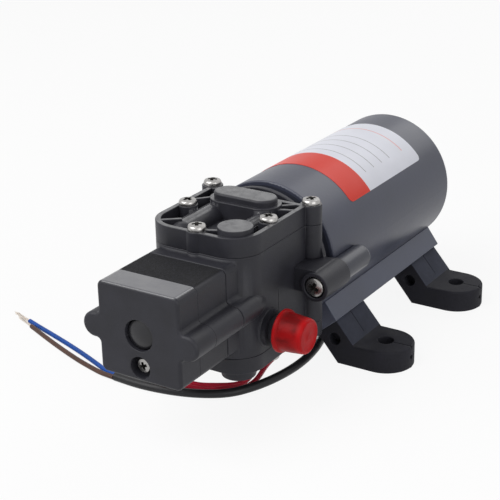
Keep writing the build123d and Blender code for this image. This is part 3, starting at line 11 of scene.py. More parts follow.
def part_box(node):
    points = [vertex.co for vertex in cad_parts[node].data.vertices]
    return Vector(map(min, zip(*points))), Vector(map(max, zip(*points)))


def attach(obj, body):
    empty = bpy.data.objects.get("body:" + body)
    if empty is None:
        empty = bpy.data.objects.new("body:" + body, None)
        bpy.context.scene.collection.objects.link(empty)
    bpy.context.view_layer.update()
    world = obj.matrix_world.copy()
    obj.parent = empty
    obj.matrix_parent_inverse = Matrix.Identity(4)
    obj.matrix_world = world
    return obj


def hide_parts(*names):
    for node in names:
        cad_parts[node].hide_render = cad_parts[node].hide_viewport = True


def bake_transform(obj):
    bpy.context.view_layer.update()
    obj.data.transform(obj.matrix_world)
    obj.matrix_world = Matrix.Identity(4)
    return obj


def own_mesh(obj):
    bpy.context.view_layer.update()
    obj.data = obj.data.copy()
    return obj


bl_info = {
    "name": "Camper water pump",
    "version": (1, 0, 0),
    "blender": (4, 5, 0),
    "location": "View3D > Sidebar > Pump",
    "description": "Models and finishes the visible pieces of a small diaphragm water pump",
    "category": "Object",
}

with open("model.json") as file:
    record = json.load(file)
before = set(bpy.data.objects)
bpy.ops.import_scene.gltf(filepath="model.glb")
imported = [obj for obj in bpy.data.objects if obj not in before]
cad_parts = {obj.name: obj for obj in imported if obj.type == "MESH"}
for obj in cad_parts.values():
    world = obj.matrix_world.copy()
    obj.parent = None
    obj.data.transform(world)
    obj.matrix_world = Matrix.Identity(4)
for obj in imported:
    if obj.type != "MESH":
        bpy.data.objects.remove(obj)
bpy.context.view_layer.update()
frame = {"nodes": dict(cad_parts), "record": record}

MM = 0.001
SLOTS = {row["node"]: row["material_slot"] for row in frame["record"]["subparts"]}
SHARP_ANGLE = radians(50)

# Grain of the mouldings
GRAIN_SIZE = 0.0006
GRAIN_DEPTH = 0.00003

# Distances under which points are merged: of CAD copies, turned shapes and rounded pieces
COPY_MERGE = 0.000002
TURNED_MERGE = 0.000001
ROUNDED_MERGE = 0.000005

# Sides of a turned shape, and of a strand
TURNED_SIDES = 64
STRAND_SIDES = 10

# Screws: way the head faces, radius and height of the head, radius of the shank
COVER_SCREW_RADIUS = 0.0030
SCREWS = {
    "upper_cover_screws": ((0, 0, 1), COVER_SCREW_RADIUS, 0.0019, 0.00145),
    "lower_cover_screws": ((0, 0, -1), COVER_SCREW_RADIUS, 0.0019, 0.00145),
    "switch_screw": ((0, -1, 0), 0.00245, 0.0016, 0.00145),
    "motor_screws": ((0, -1, 0), 0.0034, 0.0024, 0.00175),
}

# Turn of the first screw's cross, and how much further each next one is turned
FIRST_TURN = 0.35
NEXT_TURN = 0.9

# How far the bars of a cross recess narrow towards its floor, in length and in width
CROSS_TAPER = (0.45, 0.6, 1)

# Nodes whose sharp edges are rounded, with the share of the edge round that each gets
EASED_NODES = {
    "switch_cover": 0.7,
    "switch_housing": 0.7,
    "pump_body": 1.0,
    "upper_cover": 0.9,
    "lower_cover": 0.9,
    "base_bracket": 0.8,
    "motor_screw_barrels": 1.0,
}

# Fine joints that are notched: their places, how near an edge has to be, and the notch
BARREL_FRONT_Y = -0.0092
JOINT_REACH = 0.00002
JOINT_PROFILE = 0.06
JOINT_Y = -0.0571
JOINT_HALF_WIDTH = 0.0139
JOINT_HALF_HEIGHT = 0.0141
JOINT_MIDDLE_Z = 0.0394

# Fine line in the side of the body
MOULD_LINE_SIZE = (0.0005, 0.00018, 0.0085)
MOULD_LINE_PLACE = (0.0190, -0.0335, 0.0360)

# Diaphragms: wedges and rings they are cut in, and the radii between which the rings are cut
WEDGES = 8
FLEX_RINGS = 5
FLEX_START = 0.0046
FLEX_END = 0.0092

# Label: places along the film from its front edge, and reach across from its middle
BAND_END = 0.0138
GREY_RULES = (0.0185, 0.0245, 0.0305, 0.0365)
GREY_RULE_WIDTH = 0.0004
GREY_RULE_TONE = (0.34, 0.34, 0.36)
RED_RULE = (0.0462, 0.0468)
RULE_REACH = 0.016

# Caps: wall next to the port as (radius, height above the lip)
CAP_WALL = (
    (0.00655, 0.0016), (0.00638, 0.0021), (0.00630, 0.0030), (0.00618, 0.0048),
    (0.00604, 0.0064), (0.00592, 0.0078),
)

# Where the port starts and stops to show through its cap, from the port's end
PORT_START = (-0.0076, -0.0066)
PORT_STOP = (-0.0012, 0.0002)

# Plug: depth of its crown under the cover's face, and rise of its dome
PLUG_INSET = 0.0001
PLUG_RISE = 0.0011

# Feet: lean of the upright, top of its outer face (x, z) and the two tones of the painted sheen on
# that face, pad and slits
FOOT_LEAN = radians(39.9)
FOOT_CROWN = (0.02184, 0.01613)
# Two lighter, bluish tones that paint a sheen on the upright's outer face
FOOT_PAINTED_SHEEN = ((0.026, 0.029, 0.044), (0.046, 0.050, 0.070))
UPRIGHT_SLIT = 0.0086
PAD_HEIGHT = 0.0080
PAD_TIP = 0.0459
PAD_SLIT = 0.0075
PAD_SLIT_X = 0.0422
PAD_EYE = 0.0008

# Tinned strands in a wire: their number, steps and reach, and how they twist and fray
STRANDS = 7
STRAND_STEPS = 12
STRAND_REACH = 0.0109
STRAND_TWIST = pi * 0.8
STRAND_SPACING = 1.95
STRAND_FLARE = 0.5
STRAND_FRAY = 0.03

# Routes of the leads, in mm
JACKET_ROUTE = [
    (3.1, 57.5, 10.6), (3.1, 57.5, 7.0), (3.1, 56.2, 3.6), (3.1, 53.5, 1.9), (3.2, 49.9, 1.5),
    (3.5, 44.3, 1.5), (4.2, 35.6, 1.5), (5.7, 25.5, 1.5), (8.0, 15.8, 1.5), (10.9, 6.6, 1.5),
    (12.5, -2.4, 1.5), (12.8, -10.4, 1.5), (12.2, -17.3, 1.5), (10.8, -24.6, 1.5),
    (8.2, -32.4, 1.5), (3.7, -40.2, 1.5), (-4.0, -45.2, 1.5), (-12.4, -48.2, 1.5),
    (-21.5, -49.8, 1.5), (-29.2, -50.2, 1.5), (-36.7, -49.6, 1.5),
]
BLUE_ROUTE = [
    (-36.63, -48.7, 1.5), (-39.12, -48.5, 1.5), (-43.0, -47.1, 1.1), (-48.3, -44.6, 0.85),
    (-56.2, -41.4, 0.85), (-65.0, -38.2, 0.85), (-75.5, -34.7, 0.85), (-84.3, -32.0, 0.85),
    (-92.4, -29.3, 0.85),
]
BROWN_ROUTE = [
    (-36.77, -50.5, 1.5), (-39.26, -50.3, 1.5), (-43.2, -49.4, 1.1), (-48.2, -47.8, 0.85),
    (-55.6, -45.7, 0.85), (-65.3, -42.2, 0.85), (-77.2, -37.5, 0.85), (-88.8, -32.5, 0.85),
]
NEAR_ROUTE = [
    (-1.2, 57.5, 10.6), (-1.2, 57.5, 7.0), (-1.2, 56.1, 3.5), (-1.2, 53.4, 1.3), (-1.1, 49.8, 0.9),
    (-0.8, 44.1, 0.9), (-0.3, 35.4, 0.9), (0.5, 24.6, 0.9), (1.1, 13.6, 0.9), (1.3, 2.6, 0.9),
    (1.7, -7.2, 0.9), (2.9, -16.5, 0.9), (5.3, -24.7, 0.9), (5.9, -30.2, 0.9), (4.5, -34.6, 0.9),
    (-0.9, -38.4, 0.9), (-8.2, -42.6, 0.9), (-14.4, -45.2, 3.0), (-17.6, -50.2, 7.6),
    (-16.9, -57.2, 11.6), (-12.2, -63.0, 14.8), (-7.4, -65.5, 18.6), (-7.4, -65.5, 22.4),
]
FAR_ROUTE = [
    (-3.9, 57.5, 10.6), (-3.9, 57.5, 7.0), (-3.9, 56.1, 3.5), (-3.9, 53.4, 1.3), (-3.8, 49.8, 0.9),
    (-3.5, 44.1, 0.9), (-2.9, 35.4, 0.9), (-2.0, 24.6, 0.9), (-1.3, 13.6, 0.9), (-1.1, 2.6, 0.9),
    (-0.8, -7.2, 0.9), (0.2, -16.9, 0.9), (2.5, -24.9, 0.9), (3.1, -29.8, 0.9), (1.2, -33.5, 0.9),
    (-3.4, -36.6, 0.9), (-10.2, -40.2, 0.9), (-16.8, -43.0, 3.4), (-20.0, -48.6, 8.4),
    (-18.2, -56.0, 13.0), (-14.6, -62.4, 16.4), (-9.6, -65.5, 19.2), (-9.6, -65.5, 22.4),
]

# Leads: route, size that holds the radius, CAD node, length, far end and stiffness
LEADS = {
    "supply_jacket": (
        JACKET_ROUTE, "jacket_radius", "supply_lead_jacket", 0.1490, "bare", "medium",
    ),
    "blue_wire": (BLUE_ROUTE, "wire_radius", "blue_supply_wire", 0.0592, "bare", "limp"),
    "brown_wire": (BROWN_ROUTE, "wire_radius", "brown_supply_wire", 0.0552, "bare", "limp"),
    "near_switch_lead": (
        NEAR_ROUTE, "switch_lead_radius", "switch_lead_near", 0.1544, "object", "limp",
    ),
    "far_switch_lead": (
        FAR_ROUTE, "switch_lead_radius", "switch_lead_far", 0.1530, "object", "limp",
    ),
}

# Stage: floor, world strengths, and each lamp's place, size and power
FLOOR_SIZE = 6
FLOOR_GLOW = 0.9
SOFT_STRENGTH = 0.19
WHITE_STRENGTH = 1.0
LAMP_AIM = (0, 0, 0.03)
LAMPS = {
    "key_box": ((-0.37, -0.58, 0.80), 0.9, 10.2),
    "side_box": ((0.80, -0.38, 0.33), 0.6, 2.5),
    "rear_box": ((0.1, 0.8, 0.6), 0.6, 1.8),
}

# Camera: place, bearing, rise and roll, and its focal length as a share of the frame's width
CAMERA_PLACE = (0.22706, -0.37241, 0.21628)
CAMERA_BEARING = radians(32.81)
CAMERA_RISE = radians(22.24)
CAMERA_ROLL = radians(-1.2)
FOCAL_SHARE = 1364.6 / 500
SENSOR_WIDTH = 36.0


def length(label, note, default):
    """A size that a user may change."""
    return bpy.props.FloatProperty(
        name=label, description=note, default=default, unit="LENGTH", precision=5
    )


def colour(label, note, default):
    """A colour that a user may change."""
    return bpy.props.FloatVectorProperty(
        name=label, description=note, default=default, size=3, subtype="COLOR", min=0, max=1
    )


class PumpSizes(bpy.types.PropertyGroup):
    """Sizes of the modelled pieces."""

    screw_crown: length("Screw crown", "Rise of a screw head's crown", 0.0005)
    cross_length: length("Cross length", "Length of a screw's cross recess", 0.0043)
    cross_width: length("Cross width", "Width of a cross recess at its mouth", 0.0014)
    cross_depth: length("Cross depth", "Depth of a cross recess", 0.0013)
    edge_round: length("Edge round", "Rounding on the moulded pieces' edges", 0.0003)
    joint_round: length("Joint round", "Notch where the switch box meets the body", 0.00040)
    slit_width: length("Slit width", "Width of the fine slits in a foot", 0.0004)
    slit_depth: length("Slit depth", "Depth of the fine slits in a foot", 0.0009)
    strand_radius: length("Strand radius", "Radius of one tinned strand", 0.00016)
    jacket_radius: length("Jacket radius", "Radius of the supply lead's jacket", 0.0015)
    wire_radius: length("Wire radius", "Radius of a supply wire", 0.00085)
    switch_lead_radius: length("Switch lead radius", "Radius of a switch lead", 0.0009)


class PumpColours(bpy.types.PropertyGroup):
    """Colours of the finishes."""

    nylon: colour("Nylon", "Moulded pump head", (0.0180, 0.0180, 0.0235))
    can: colour("Can", "Painted motor can", (0.042, 0.046, 0.070))
    bracket: colour("Bracket", "Painted bracket", (0.062, 0.070, 0.105))
    rubber: colour("Rubber", "Feet and grommets", (0.0125, 0.0125, 0.0165))
    cap: colour("Cap", "Soft port caps", (0.40, 0.004, 0.006))
    film: colour("Film", "Label film", (0.74, 0.75, 0.82))
    band: colour("Band", "Printed band of the label", (0.64, 0.040, 0.024))
    rule: colour("Rule", "Fine printed rules of the label", (0.72, 0.40, 0.40))
    jacket: colour("Jacket", "Supply lead jacket", (0.016, 0.016, 0.018))
    blue: colour("Blue wire", "Blue supply wire", (0.007, 0.066, 0.32))
    brown: colour("Brown wire", "Brown supply wire", (0.068, 0.032, 0.022))
    # The red is lighter than the leads' own colour: partly their real red, partly painted light for
    # light bounced up from below
    red: colour("Red leads", "Switch leads", (0.60, 0.024, 0.055))


class Link:
    """A value in a material. Arithmetic on it adds Math nodes."""

    def __init__(self, finish, socket):
        self.finish = finish
        self.socket = socket

    def _maths(self, operation, first, second):
        return self.finish.node("ShaderNodeMath", {"operation": operation}, {0: first, 1: second})

    def __add__(self, other):
        return self._maths("ADD", self, other)

    def __sub__(self, other):
        return self._maths("SUBTRACT", self, other)

    def __mul__(self, other):
        return self._maths("MULTIPLY", self, other)

    def __lt__(self, other):
        return self._maths("LESS_THAN", self, other)

    def __gt__(self, other):
        return self._maths("GREATER_THAN", self, other)

    def __or__(self, other):
        return self._maths("MAXIMUM", self, other)

    def __abs__(self):
        return self.finish.node("ShaderNodeMath", {"operation": "ABSOLUTE"}, {0: self})


class Nodes:
    """The node tree of a material or of the world."""

    def __init__(self, tree):
        self.tree = tree

    def fill(self, socket, value):
        """Link a value to a socket, or set the number or colour on it."""
        if isinstance(value, Link):
            self.tree.links.new(value.socket, socket)
        elif socket.type == "RGBA" and len(value) == 3:
            socket.default_value = (*value, 1)
        else:
            socket.default_value = value

    def node(self, kind, settings=None, sockets=None, output=0):
        """Add a node: its settings come first, then its sockets."""
        node = self.tree.nodes.new(kind)
        for name, value in (settings or {}).items():
            setattr(node, name, value)
        for name, value in (sockets or {}).items():
            self.fill(node.inputs[name], value)
        return None if output is None else Link(self, node.outputs[output])

    def plain_ray(self):
        """One for a ray from the camera, off a gloss or through glass, or else zero."""
        kinds = ("Is Camera Ray", "Is Glossy Ray", "Is Transmission Ray")
        camera, glossy, through = (self.node("ShaderNodeLightPath", output=kind) for kind in kinds)
        return camera | glossy | through


class Finish(Nodes):
    """A material with one principled shader and the nodes that feed it."""

    def __init__(
        self, name, metallic=0.0, coat=0.0, specular=0.5, coat_roughness=0.15, coat_ior=1.5
    ):
        self.material = bpy.data.materials.new(name)
        self.material.use_nodes = True
        super().__init__(self.material.node_tree)
        self.shader = self.tree.nodes["Principled BSDF"]
        levels = {
            "Metallic": metallic,
            "Coat Weight": coat,
            "Coat Roughness": coat_roughness,
            "Coat IOR": coat_ior,
            "Specular IOR Level": specular,
        }
        for socket, level in levels.items():
            self.shader.inputs[socket].default_value = level

    def place(self):
        """Object coordinates, in metres."""
        return self.node("ShaderNodeTexCoord", output="Object")

    def axis(self, name):
        """One of the object coordinates."""
        return self.node("ShaderNodeSeparateXYZ", None, {0: self.place()}, output=name)

    def stretched(self, scale):
        """Object coordinates scaled apart on each axis."""
        return self.node("ShaderNodeMapping", None, {"Vector": self.place(), "Scale": scale})

    def noise(self, size, detail=2.0, roughness=0.5, vector=None):
        """Cloudy noise whose lumps are about size metres across."""
        sockets = {
            "Vector": vector or self.place(),
            "Scale": 1 / size,
            "Detail": detail,
            "Roughness": roughness,
        }
        return self.node("ShaderNodeTexNoise", None, sockets)

    def spread(self, value, low, high, start=0.0, end=1.0):
        """Map a value's stretch from low to high onto start to end."""
        sockets = {"Value": value, 1: low, 2: high, 3: start, 4: end}
        return self.node("ShaderNodeMapRange", {"clamp": True}, sockets)

    def blend(self, factor, first, second):
        """Mix two colours."""
        sockets = {0: factor, 6: first, 7: second}
        return self.node("ShaderNodeMix", {"data_type": "RGBA"}, sockets, output=2)

    def clouded(self, cloud, base, low, high):
        """A colour that drifts from darker to lighter with cloudy noise."""
        return self.blend(self.spread(cloud, 0.3, 0.7), shade(base, low), shade(base, high))

    def plastic(self, base, size, low=0.42, high=0.56):
        """The clouds and the grain of a moulding, and the tone and gloss that follow them."""
        cloud = self.noise(size, detail=4)
        grain = self.noise(GRAIN_SIZE, detail=3, roughness=0.6)
        tone = self.clouded(cloud, base, 0.82, 1.2)
        return cloud, grain, tone, self.spread(cloud + grain * 0.5, 0.5, 1.1, low, high)

    def bump(self, height, depth, strength=1.0):
        """Bump the surface by a height."""
        sockets = {"Height": height, "Distance": depth, "Strength": strength}
        self.fill(self.shader.inputs["Normal"], self.node("ShaderNodeBump", None, sockets))

    def surface(self, base, roughness):
        """Set the colour and the roughness."""
        self.fill(self.shader.inputs["Base Color"], base)
        self.fill(self.shader.inputs["Roughness"], roughness)
        return self.material


def shade(base, factor):
    """A colour made lighter or darker."""
    return tuple(min(1.0, value * factor) for value in base)


def moulded(name, base, specular=0.28, **gloss_ends):
    """Moulded plastic: a fine grain, faint flow marks and an uneven gloss."""
    finish = Finish(name, specular=specular)
    cloud, grain, tone, gloss = finish.plastic(base, 0.009, **gloss_ends)
    speckle = finish.spread(finish.noise(GRAIN_SIZE * 0.7, detail=1), 0.62, 0.72)
    finish.bump(grain + cloud * 0.6, GRAIN_DEPTH)
    return finish.surface(finish.blend(speckle * 0.3, tone, shade(base, 2.0)), gloss)


def tray_plastic(name, base):
    """Moulded plastic that is smoother and scuffed on its level faces."""
    finish = Finish(name, specular=0.28, coat_roughness=0.14, coat_ior=1.65)
    cloud, grain, tone, gloss = finish.plastic(base, 0.007)
    facing = finish.node("ShaderNodeTexCoord", output="Normal")
    level = finish.node("ShaderNodeSeparateXYZ", None, {0: facing}, output="Z")
    scuffs_and_sheen = finish.spread(finish.noise(0.0025, detail=5, roughness=0.65), 0.35, 0.62, 0.55, 1.0)
    finish.fill(finish.shader.inputs["Coat Weight"], finish.spread(level, 0.85, 0.97) * scuffs_and_sheen)
    finish.bump(grain + cloud * 0.6, GRAIN_DEPTH)
    return finish.surface(tone, gloss)


def box_plastic(name, base, top, shiny):
    """Box plastic whose top face is either shiny, scuffed and painted lighter as a painted sheen,
    or coarse and dull.
    """
    ior = 1.9 if shiny else 1.5
    finish = Finish(name, specular=0.28, coat_roughness=0.08, coat_ior=ior)
    cloud, grain, tone, gloss = finish.plastic(base, 0.008)
    above = finish.spread(finish.axis("Z"), top - 0.0004, top - 0.0001)
    if shiny:
        scuffs_and_sheen = finish.noise(0.002, detail=5, roughness=0.65, vector=finish.stretched((0.4, 1, 1)))
        coat = above * finish.spread(scuffs_and_sheen, 0.35, 0.65, 1.0, 0.8)
        finish.fill(finish.shader.inputs["Coat Weight"], coat)
        finish.bump(grain + cloud * 0.6, 0.00002)
        # The shiny top is painted up to three times lighter in patches: partly lighter scuffs,
        # partly a painted sheen of light glancing off it
        return finish.surface(finish.blend(above * scuffs_and_sheen, tone, shade(base, 3.0)), gloss)
    coarse = finish.noise(0.00045, detail=4, roughness=0.75, vector=finish.stretched((1, 0.6, 1)))
    dull = finish.blend(finish.spread(coarse, 0.42, 0.68), shade(base, 0.1), shade(base, 0.8))
    finish.bump(grain + above * coarse * 4, 0.00004)
    return finish.surface(finish.blend(above, tone, dull), gloss + above * 0.4)


def painted(name, base, low=0.34, high=0.44):
    """Satin paint on steel: a fine orange peel and a few dull patches."""
    finish = Finish(name, coat=0.05, specular=0.4)
    peel = finish.noise(0.0011, detail=2)
    cloud = finish.noise(0.022, detail=3)
    tone = finish.clouded(cloud, base, 0.9, 1.12)
    finish.bump(peel, 0.00003, strength=0.7)
    return finish.surface(tone, finish.spread(cloud + peel * 0.3, 0.4, 0.9, low, high))


def rubbery(name, base):
    """Matte rubber with a dusty bloom, and a lighter, bluish painted sheen on the outer face of
    each upright.
    """
    finish = Finish(name, specular=0.16)
    cloud = finish.noise(0.006, detail=5, roughness=0.6)
    grain = finish.noise(0.0005, detail=2)
    tone = finish.blend(finish.spread(cloud, 0.35, 0.75), base, shade(base, 1.7))
    side = abs(finish.axis("X"))
    height = finish.axis("Z")
    reach = side * cos(FOOT_LEAN) + height * sin(FOOT_LEAN)
    outer = FOOT_CROWN[0] * cos(FOOT_LEAN) + FOOT_CROWN[1] * sin(FOOT_LEAN)
    # The outer face of each upright is painted lighter and bluer: a painted sheen of reflected
    # light, not a change in its gloss
    sheen_face = (reach > outer - 0.00015) * (height > PAD_HEIGHT + 0.0003)
    sheen_patches = finish.spread(cloud, 0.35, 0.65)
    painted_sheen = finish.blend(sheen_patches, *FOOT_PAINTED_SHEEN)
    tone = finish.blend(sheen_face, tone, painted_sheen)
    finish.bump(grain + cloud * 0.5, 0.00004)
    return finish.surface(tone, finish.spread(cloud, 0.3, 0.7, 0.6, 0.75))


def metal(name, base, low, high, scale=(1, 1, 1), depth=0.00001):
    """Bare metal with fine drawn or turned marks and faint clouds."""
    finish = Finish(name, metallic=1.0)
    marks = finish.noise(0.0004, detail=3, vector=finish.stretched(scale))
    cloud = finish.noise(0.003, detail=2)
    tone = finish.clouded(cloud, base, 0.85, 1.0)
    finish.bump(marks, depth, strength=0.6)
    return finish.surface(tone, finish.spread(marks * 0.6 + cloud * 0.4, 0.3, 0.7, low, high))


def cap_finish(name, base, port_end):
    """Soft thin plastic, darker and streaked where the black port shows through it."""
    finish = Finish(name, specular=0.12)
    cloud = finish.noise(0.004, detail=4, vector=finish.stretched((0.5, 1, 1)))
    grain = finish.noise(0.0004, detail=2)
    past_end = abs(finish.axis("X")) - port_end
    over_port = finish.spread(past_end, *PORT_START)
    over_port *= finish.spread(past_end, *PORT_STOP, 1.0, 0.0)
    streak = finish.spread(cloud, 0.40, 0.62, 0.35, 1.0)
    tone = finish.clouded(cloud, base, 0.88, 1.08)
    tone = finish.blend(over_port * streak, tone, shade(base, 0.38))
    finish.bump(grain + cloud * 2, 0.00003)
    return finish.surface(tone, finish.spread(cloud, 0.3, 0.7, 0.38, 0.5))


def wire_finish(name, base):
    """Smooth sheathing with faint drawn ripples."""
    finish = Finish(name, coat=0.05, specular=0.22)
    cloud = finish.noise(0.004, detail=3)
    grain = finish.noise(0.0006, detail=2)
    tone = finish.clouded(cloud, base, 0.85, 1.15)
    finish.bump(grain, 0.00002)
    return finish.surface(tone, finish.spread(cloud + grain * 0.3, 0.4, 0.9, 0.36, 0.5))


def label_finish(name, colours):
    """Printed film: a band at the front, a pale field and a few fine rules."""
    finish = Finish(name, specular=0.15)
    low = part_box("motor_label")[0]
    along = finish.axis("Y") - low[1]
    cloud = finish.noise(0.01, detail=3)
    tone = finish.clouded(cloud, colours.film, 0.94, 1.0)
    inside = abs(finish.axis("X")) < RULE_REACH
    for place in GREY_RULES:
        line = (along > place) * (along < place + GREY_RULE_WIDTH) * inside
        tone = finish.blend(line, tone, GREY_RULE_TONE)
    rule = (along > RED_RULE[0]) * (along < RED_RULE[1]) * inside
    tone = finish.blend(rule, tone, colours.rule)
    tone = finish.blend(along < BAND_END, tone, colours.band)
    finish.bump(finish.noise(0.0008, detail=2), 0.00001)
    return finish.surface(tone, finish.spread(cloud, 0.3, 0.7, 0.3, 0.38))


def windings_finish(name):
    """Enamelled copper wire laid in fine rows."""
    finish = Finish(name, metallic=0.9, coat=0.4)
    sockets = {"Vector": finish.place(), "Scale": 700.0}
    rows = finish.node("ShaderNodeTexWave", {"bands_direction": "Z"}, sockets)
    tone = finish.blend(rows, (0.28, 0.09, 0.03), (0.62, 0.26, 0.12))
    finish.bump(rows, 0.0001)
    return finish.surface(tone, 0.32)


def rest():
    """Leave edit mode and deselect everything."""
    if bpy.context.object and bpy.context.object.mode != "OBJECT":
        bpy.ops.object.mode_set(mode="OBJECT")
    bpy.ops.object.select_all(action="DESELECT")


def choose(piece):
    """Make one piece the only selected one."""
    rest()
    piece.select_set(True)
    bpy.context.view_layer.objects.active = piece


def open_whole(piece):
    """Enter edit mode on one piece, with all its faces selected."""
    choose(piece)
    bpy.ops.object.mode_set(mode="EDIT")
    bpy.ops.mesh.select_mode(type="FACE")
    bpy.ops.mesh.select_all(action="SELECT")


def aimed(way):
    """The turn that brings Z to point along a way."""
    return Vector(way).to_track_quat("Z", "Y").to_matrix().to_4x4()


def added(name, data):
    """A new object in the scene that holds some data."""
    item = bpy.data.objects.new(name, data)
    bpy.context.scene.collection.objects.link(item)
    return item


def finish_of(node):
    """The material of a CAD node."""
    return frame["nodes"][node].material_slots[0].material


def pick(piece, kind, test):
    """In edit mode, select only the faces or the edges that pass a test."""
    bpy.ops.mesh.select_mode(type=kind)
    mesh = bmesh.from_edit_mesh(piece.data)
    for part in (*mesh.verts, *mesh.edges, *mesh.faces):
        part.select = False
    for part in mesh.faces if kind == "FACE" else mesh.edges:
        if test(part):
            part.select_set(True)
    bmesh.update_edit_mesh(piece.data)


def modify(piece, kind, **settings):
    """Add a modifier and apply it at once."""
    choose(piece)
    modifier = piece.modifiers.new(kind.title(), kind)
    for name, value in settings.items():
        setattr(modifier, name, value)
    bpy.ops.object.modifier_apply(modifier=modifier.name)


def smooth(piece, angle):
    """Shade a piece smooth, with its sharp edges kept."""
    choose(piece)
    bpy.ops.object.shade_smooth_by_angle(angle=radians(angle))


def turned(name, rings):
    """A closed turned shape about Z, drawn out ring by ring from (radius, height) pairs."""
    rest()
    radius, height = rings[0]
    bpy.ops.mesh.primitive_circle_add(vertices=TURNED_SIDES, radius=radius, fill_type="NGON")
    piece = bpy.context.object
    piece.name = name
    piece.data.transform(Matrix.Translation((0, 0, height)))
    open_whole(piece)
    for next_radius, next_height in rings[1:]:
        shift = (0, 0, next_height - height)
        bpy.ops.mesh.extrude_region_move(TRANSFORM_OT_translate={"value": shift})
        ratio = next_radius / radius
        bpy.ops.transform.resize(value=(ratio, ratio, 1), center_override=(0, 0, next_height))
        radius, height = next_radius, next_height
    bpy.ops.mesh.select_all(action="SELECT")
    bpy.ops.mesh.remove_doubles(threshold=TURNED_MERGE)
    bpy.ops.mesh.normals_make_consistent(inside=False)
    rest()
    return piece


def cross_cutter(sizes, top, scale):
    """Two tapered bars that cut the cross recess of a screw."""
    cutters = []
    for turn in (0, pi / 2):
        size = (sizes.cross_length * scale, sizes.cross_width * scale, sizes.cross_depth + 0.001)
        bar = block(size, (0, 0, top - sizes.cross_depth / 2 + 0.0005))
        open_whole(bar)
        pick(bar, "FACE", lambda face: face.normal.z < -0.5)
        bpy.ops.transform.resize(value=CROSS_TAPER, center_override=(0, 0, 0))
        rest()
        bar.data.transform(Matrix.Rotation(turn, 4, "Z"))
        cutters.append(bar)
    return cutters


def cross_screw(sizes, radius, thickness, shank, depth):
    """A pan screw with a crowned head and a cross recess, its seat at the origin."""
    crown = sizes.screw_crown
    rings = [
        (shank * 0.7, -depth), (shank, -depth + shank * 0.4), (shank, -0.0001),
        (shank, 0.0), (radius * 0.97, 0.0), (radius, 0.0002), (radius, thickness * 0.42),
        (radius * 0.965, thickness * 0.62), (radius * 0.88, thickness * 0.8),
        (radius * 0.74, thickness - crown * 0.55), (radius * 0.5, thickness - crown * 0.2),
        (radius * 0.25, thickness),
    ]
    screw = turned("cross_screw", rings)
    scale = radius / COVER_SCREW_RADIUS
    carve(screw, *cross_cutter(sizes, thickness, scale))
    smooth(screw, 32)
    return screw


def paint_cross_shade(screw, radius, thickness):
    """Give the walls and the floor of a cross recess the second finish, a near-black metal that is
    painted shade.
    """
    for face in screw.data.polygons:
        sunk = face.normal.z < 0.85 or face.center.z < thickness * 0.6
        inside = face.center.xy.length < radius * 0.76 and face.center.z > thickness * 0.1
        face.material_index = 1 if sunk and inside else 0


def copy_of(node, name):
    """A merged copy of a CAD node's mesh as an object of its own."""
    piece = added(name, frame["nodes"][node].data.copy())
    piece.data.materials.clear()
    open_whole(piece)
    bpy.ops.mesh.remove_doubles(threshold=COPY_MERGE)
    rest()
    return piece


def flat_copy(node, name):
    """A copy of a CAD node whose flat faces are each one face."""
    piece = copy_of(node, name)
    open_whole(piece)
    bpy.ops.mesh.dissolve_limited(angle_limit=radians(1.5))
    rest()
    return piece


def round_edges(piece, width, test, profile=0.5):
    """Round the sharp outer edges whose middle passes a test, or notch them at a low profile."""

    def sharp(edge):
        middle = (edge.verts[0].co + edge.verts[1].co) / 2
        return edge.calc_face_angle_signed(0) > SHARP_ANGLE and test(middle)

    open_whole(piece)
    pick(piece, "EDGE", sharp)
    bpy.ops.mesh.bevel(
        offset=width, segments=2, profile=profile, clamp_overlap=False, miter_outer="SHARP"
    )
    bpy.ops.mesh.select_all(action="SELECT")
    bpy.ops.mesh.remove_doubles(threshold=ROUNDED_MERGE)
    rest()


def flat_shade(piece):
    """Shade a piece smooth, with its large faces flat and its sharp edges kept."""
    smooth(piece, 40)
    modify(piece, "WEIGHTED_NORMAL", weight=100, keep_sharp=True)


def at_barrel_front(middle):
    """Whether a place is on the front rim of a threaded barrel."""
    return abs(middle.y - BARREL_FRONT_Y) < JOINT_REACH


def at_joint(middle):
    """Whether a place is on the outline where the switch box meets the body's flange."""
    beside = abs(middle.x) > JOINT_HALF_WIDTH
    above_or_below = abs(middle.z - JOINT_MIDDLE_Z) > JOINT_HALF_HEIGHT
    return (beside or above_or_below) and abs(middle.y - JOINT_Y) < JOINT_REACH


def block(size, middle, lean=0.0):
    """A plain block to cut with, leant about Y."""
    rest()
    bpy.ops.mesh.primitive_cube_add(size=1)
    piece = bpy.context.object
    piece.data.transform(Matrix.Diagonal((*size, 1)))
    piece.data.transform(Matrix.Translation(middle) @ Matrix.Rotation(lean, 4, "Y"))
    return piece


def pin(radius, size, middle, way):
    """A plain round pin to cut with."""
    rest()
    bpy.ops.mesh.primitive_cylinder_add(vertices=32, radius=radius, depth=size)
    piece = bpy.context.object
    piece.data.transform(Matrix.Translation(middle) @ aimed(way))
    return piece


def carve(piece, *cutters):
    """Cut away each cutter in turn."""
    for cutter in cutters:
        modify(piece, "BOOLEAN", object=cutter, operation="DIFFERENCE", solver="EXACT")
        bpy.data.objects.remove(cutter)


def islands(node):
    """Lowest and highest corner of each separate solid of a CAD node."""
    piece = copy_of(node, "measured_" + node)
    choose(piece)
    bpy.ops.mesh.separate(type="LOOSE")
    boxes = []
    for solid in list(bpy.context.selected_objects):
        places = [vertex.co for vertex in solid.data.vertices]
        low = Vector(min(place[axis] for place in places) for axis in range(3))
        high = Vector(max(place[axis] for place in places) for axis in range(3))
        boxes.append((low, high))
        bpy.data.objects.remove(solid)
    return sorted(boxes, key=lambda corners: tuple(corners[0] + corners[1]))


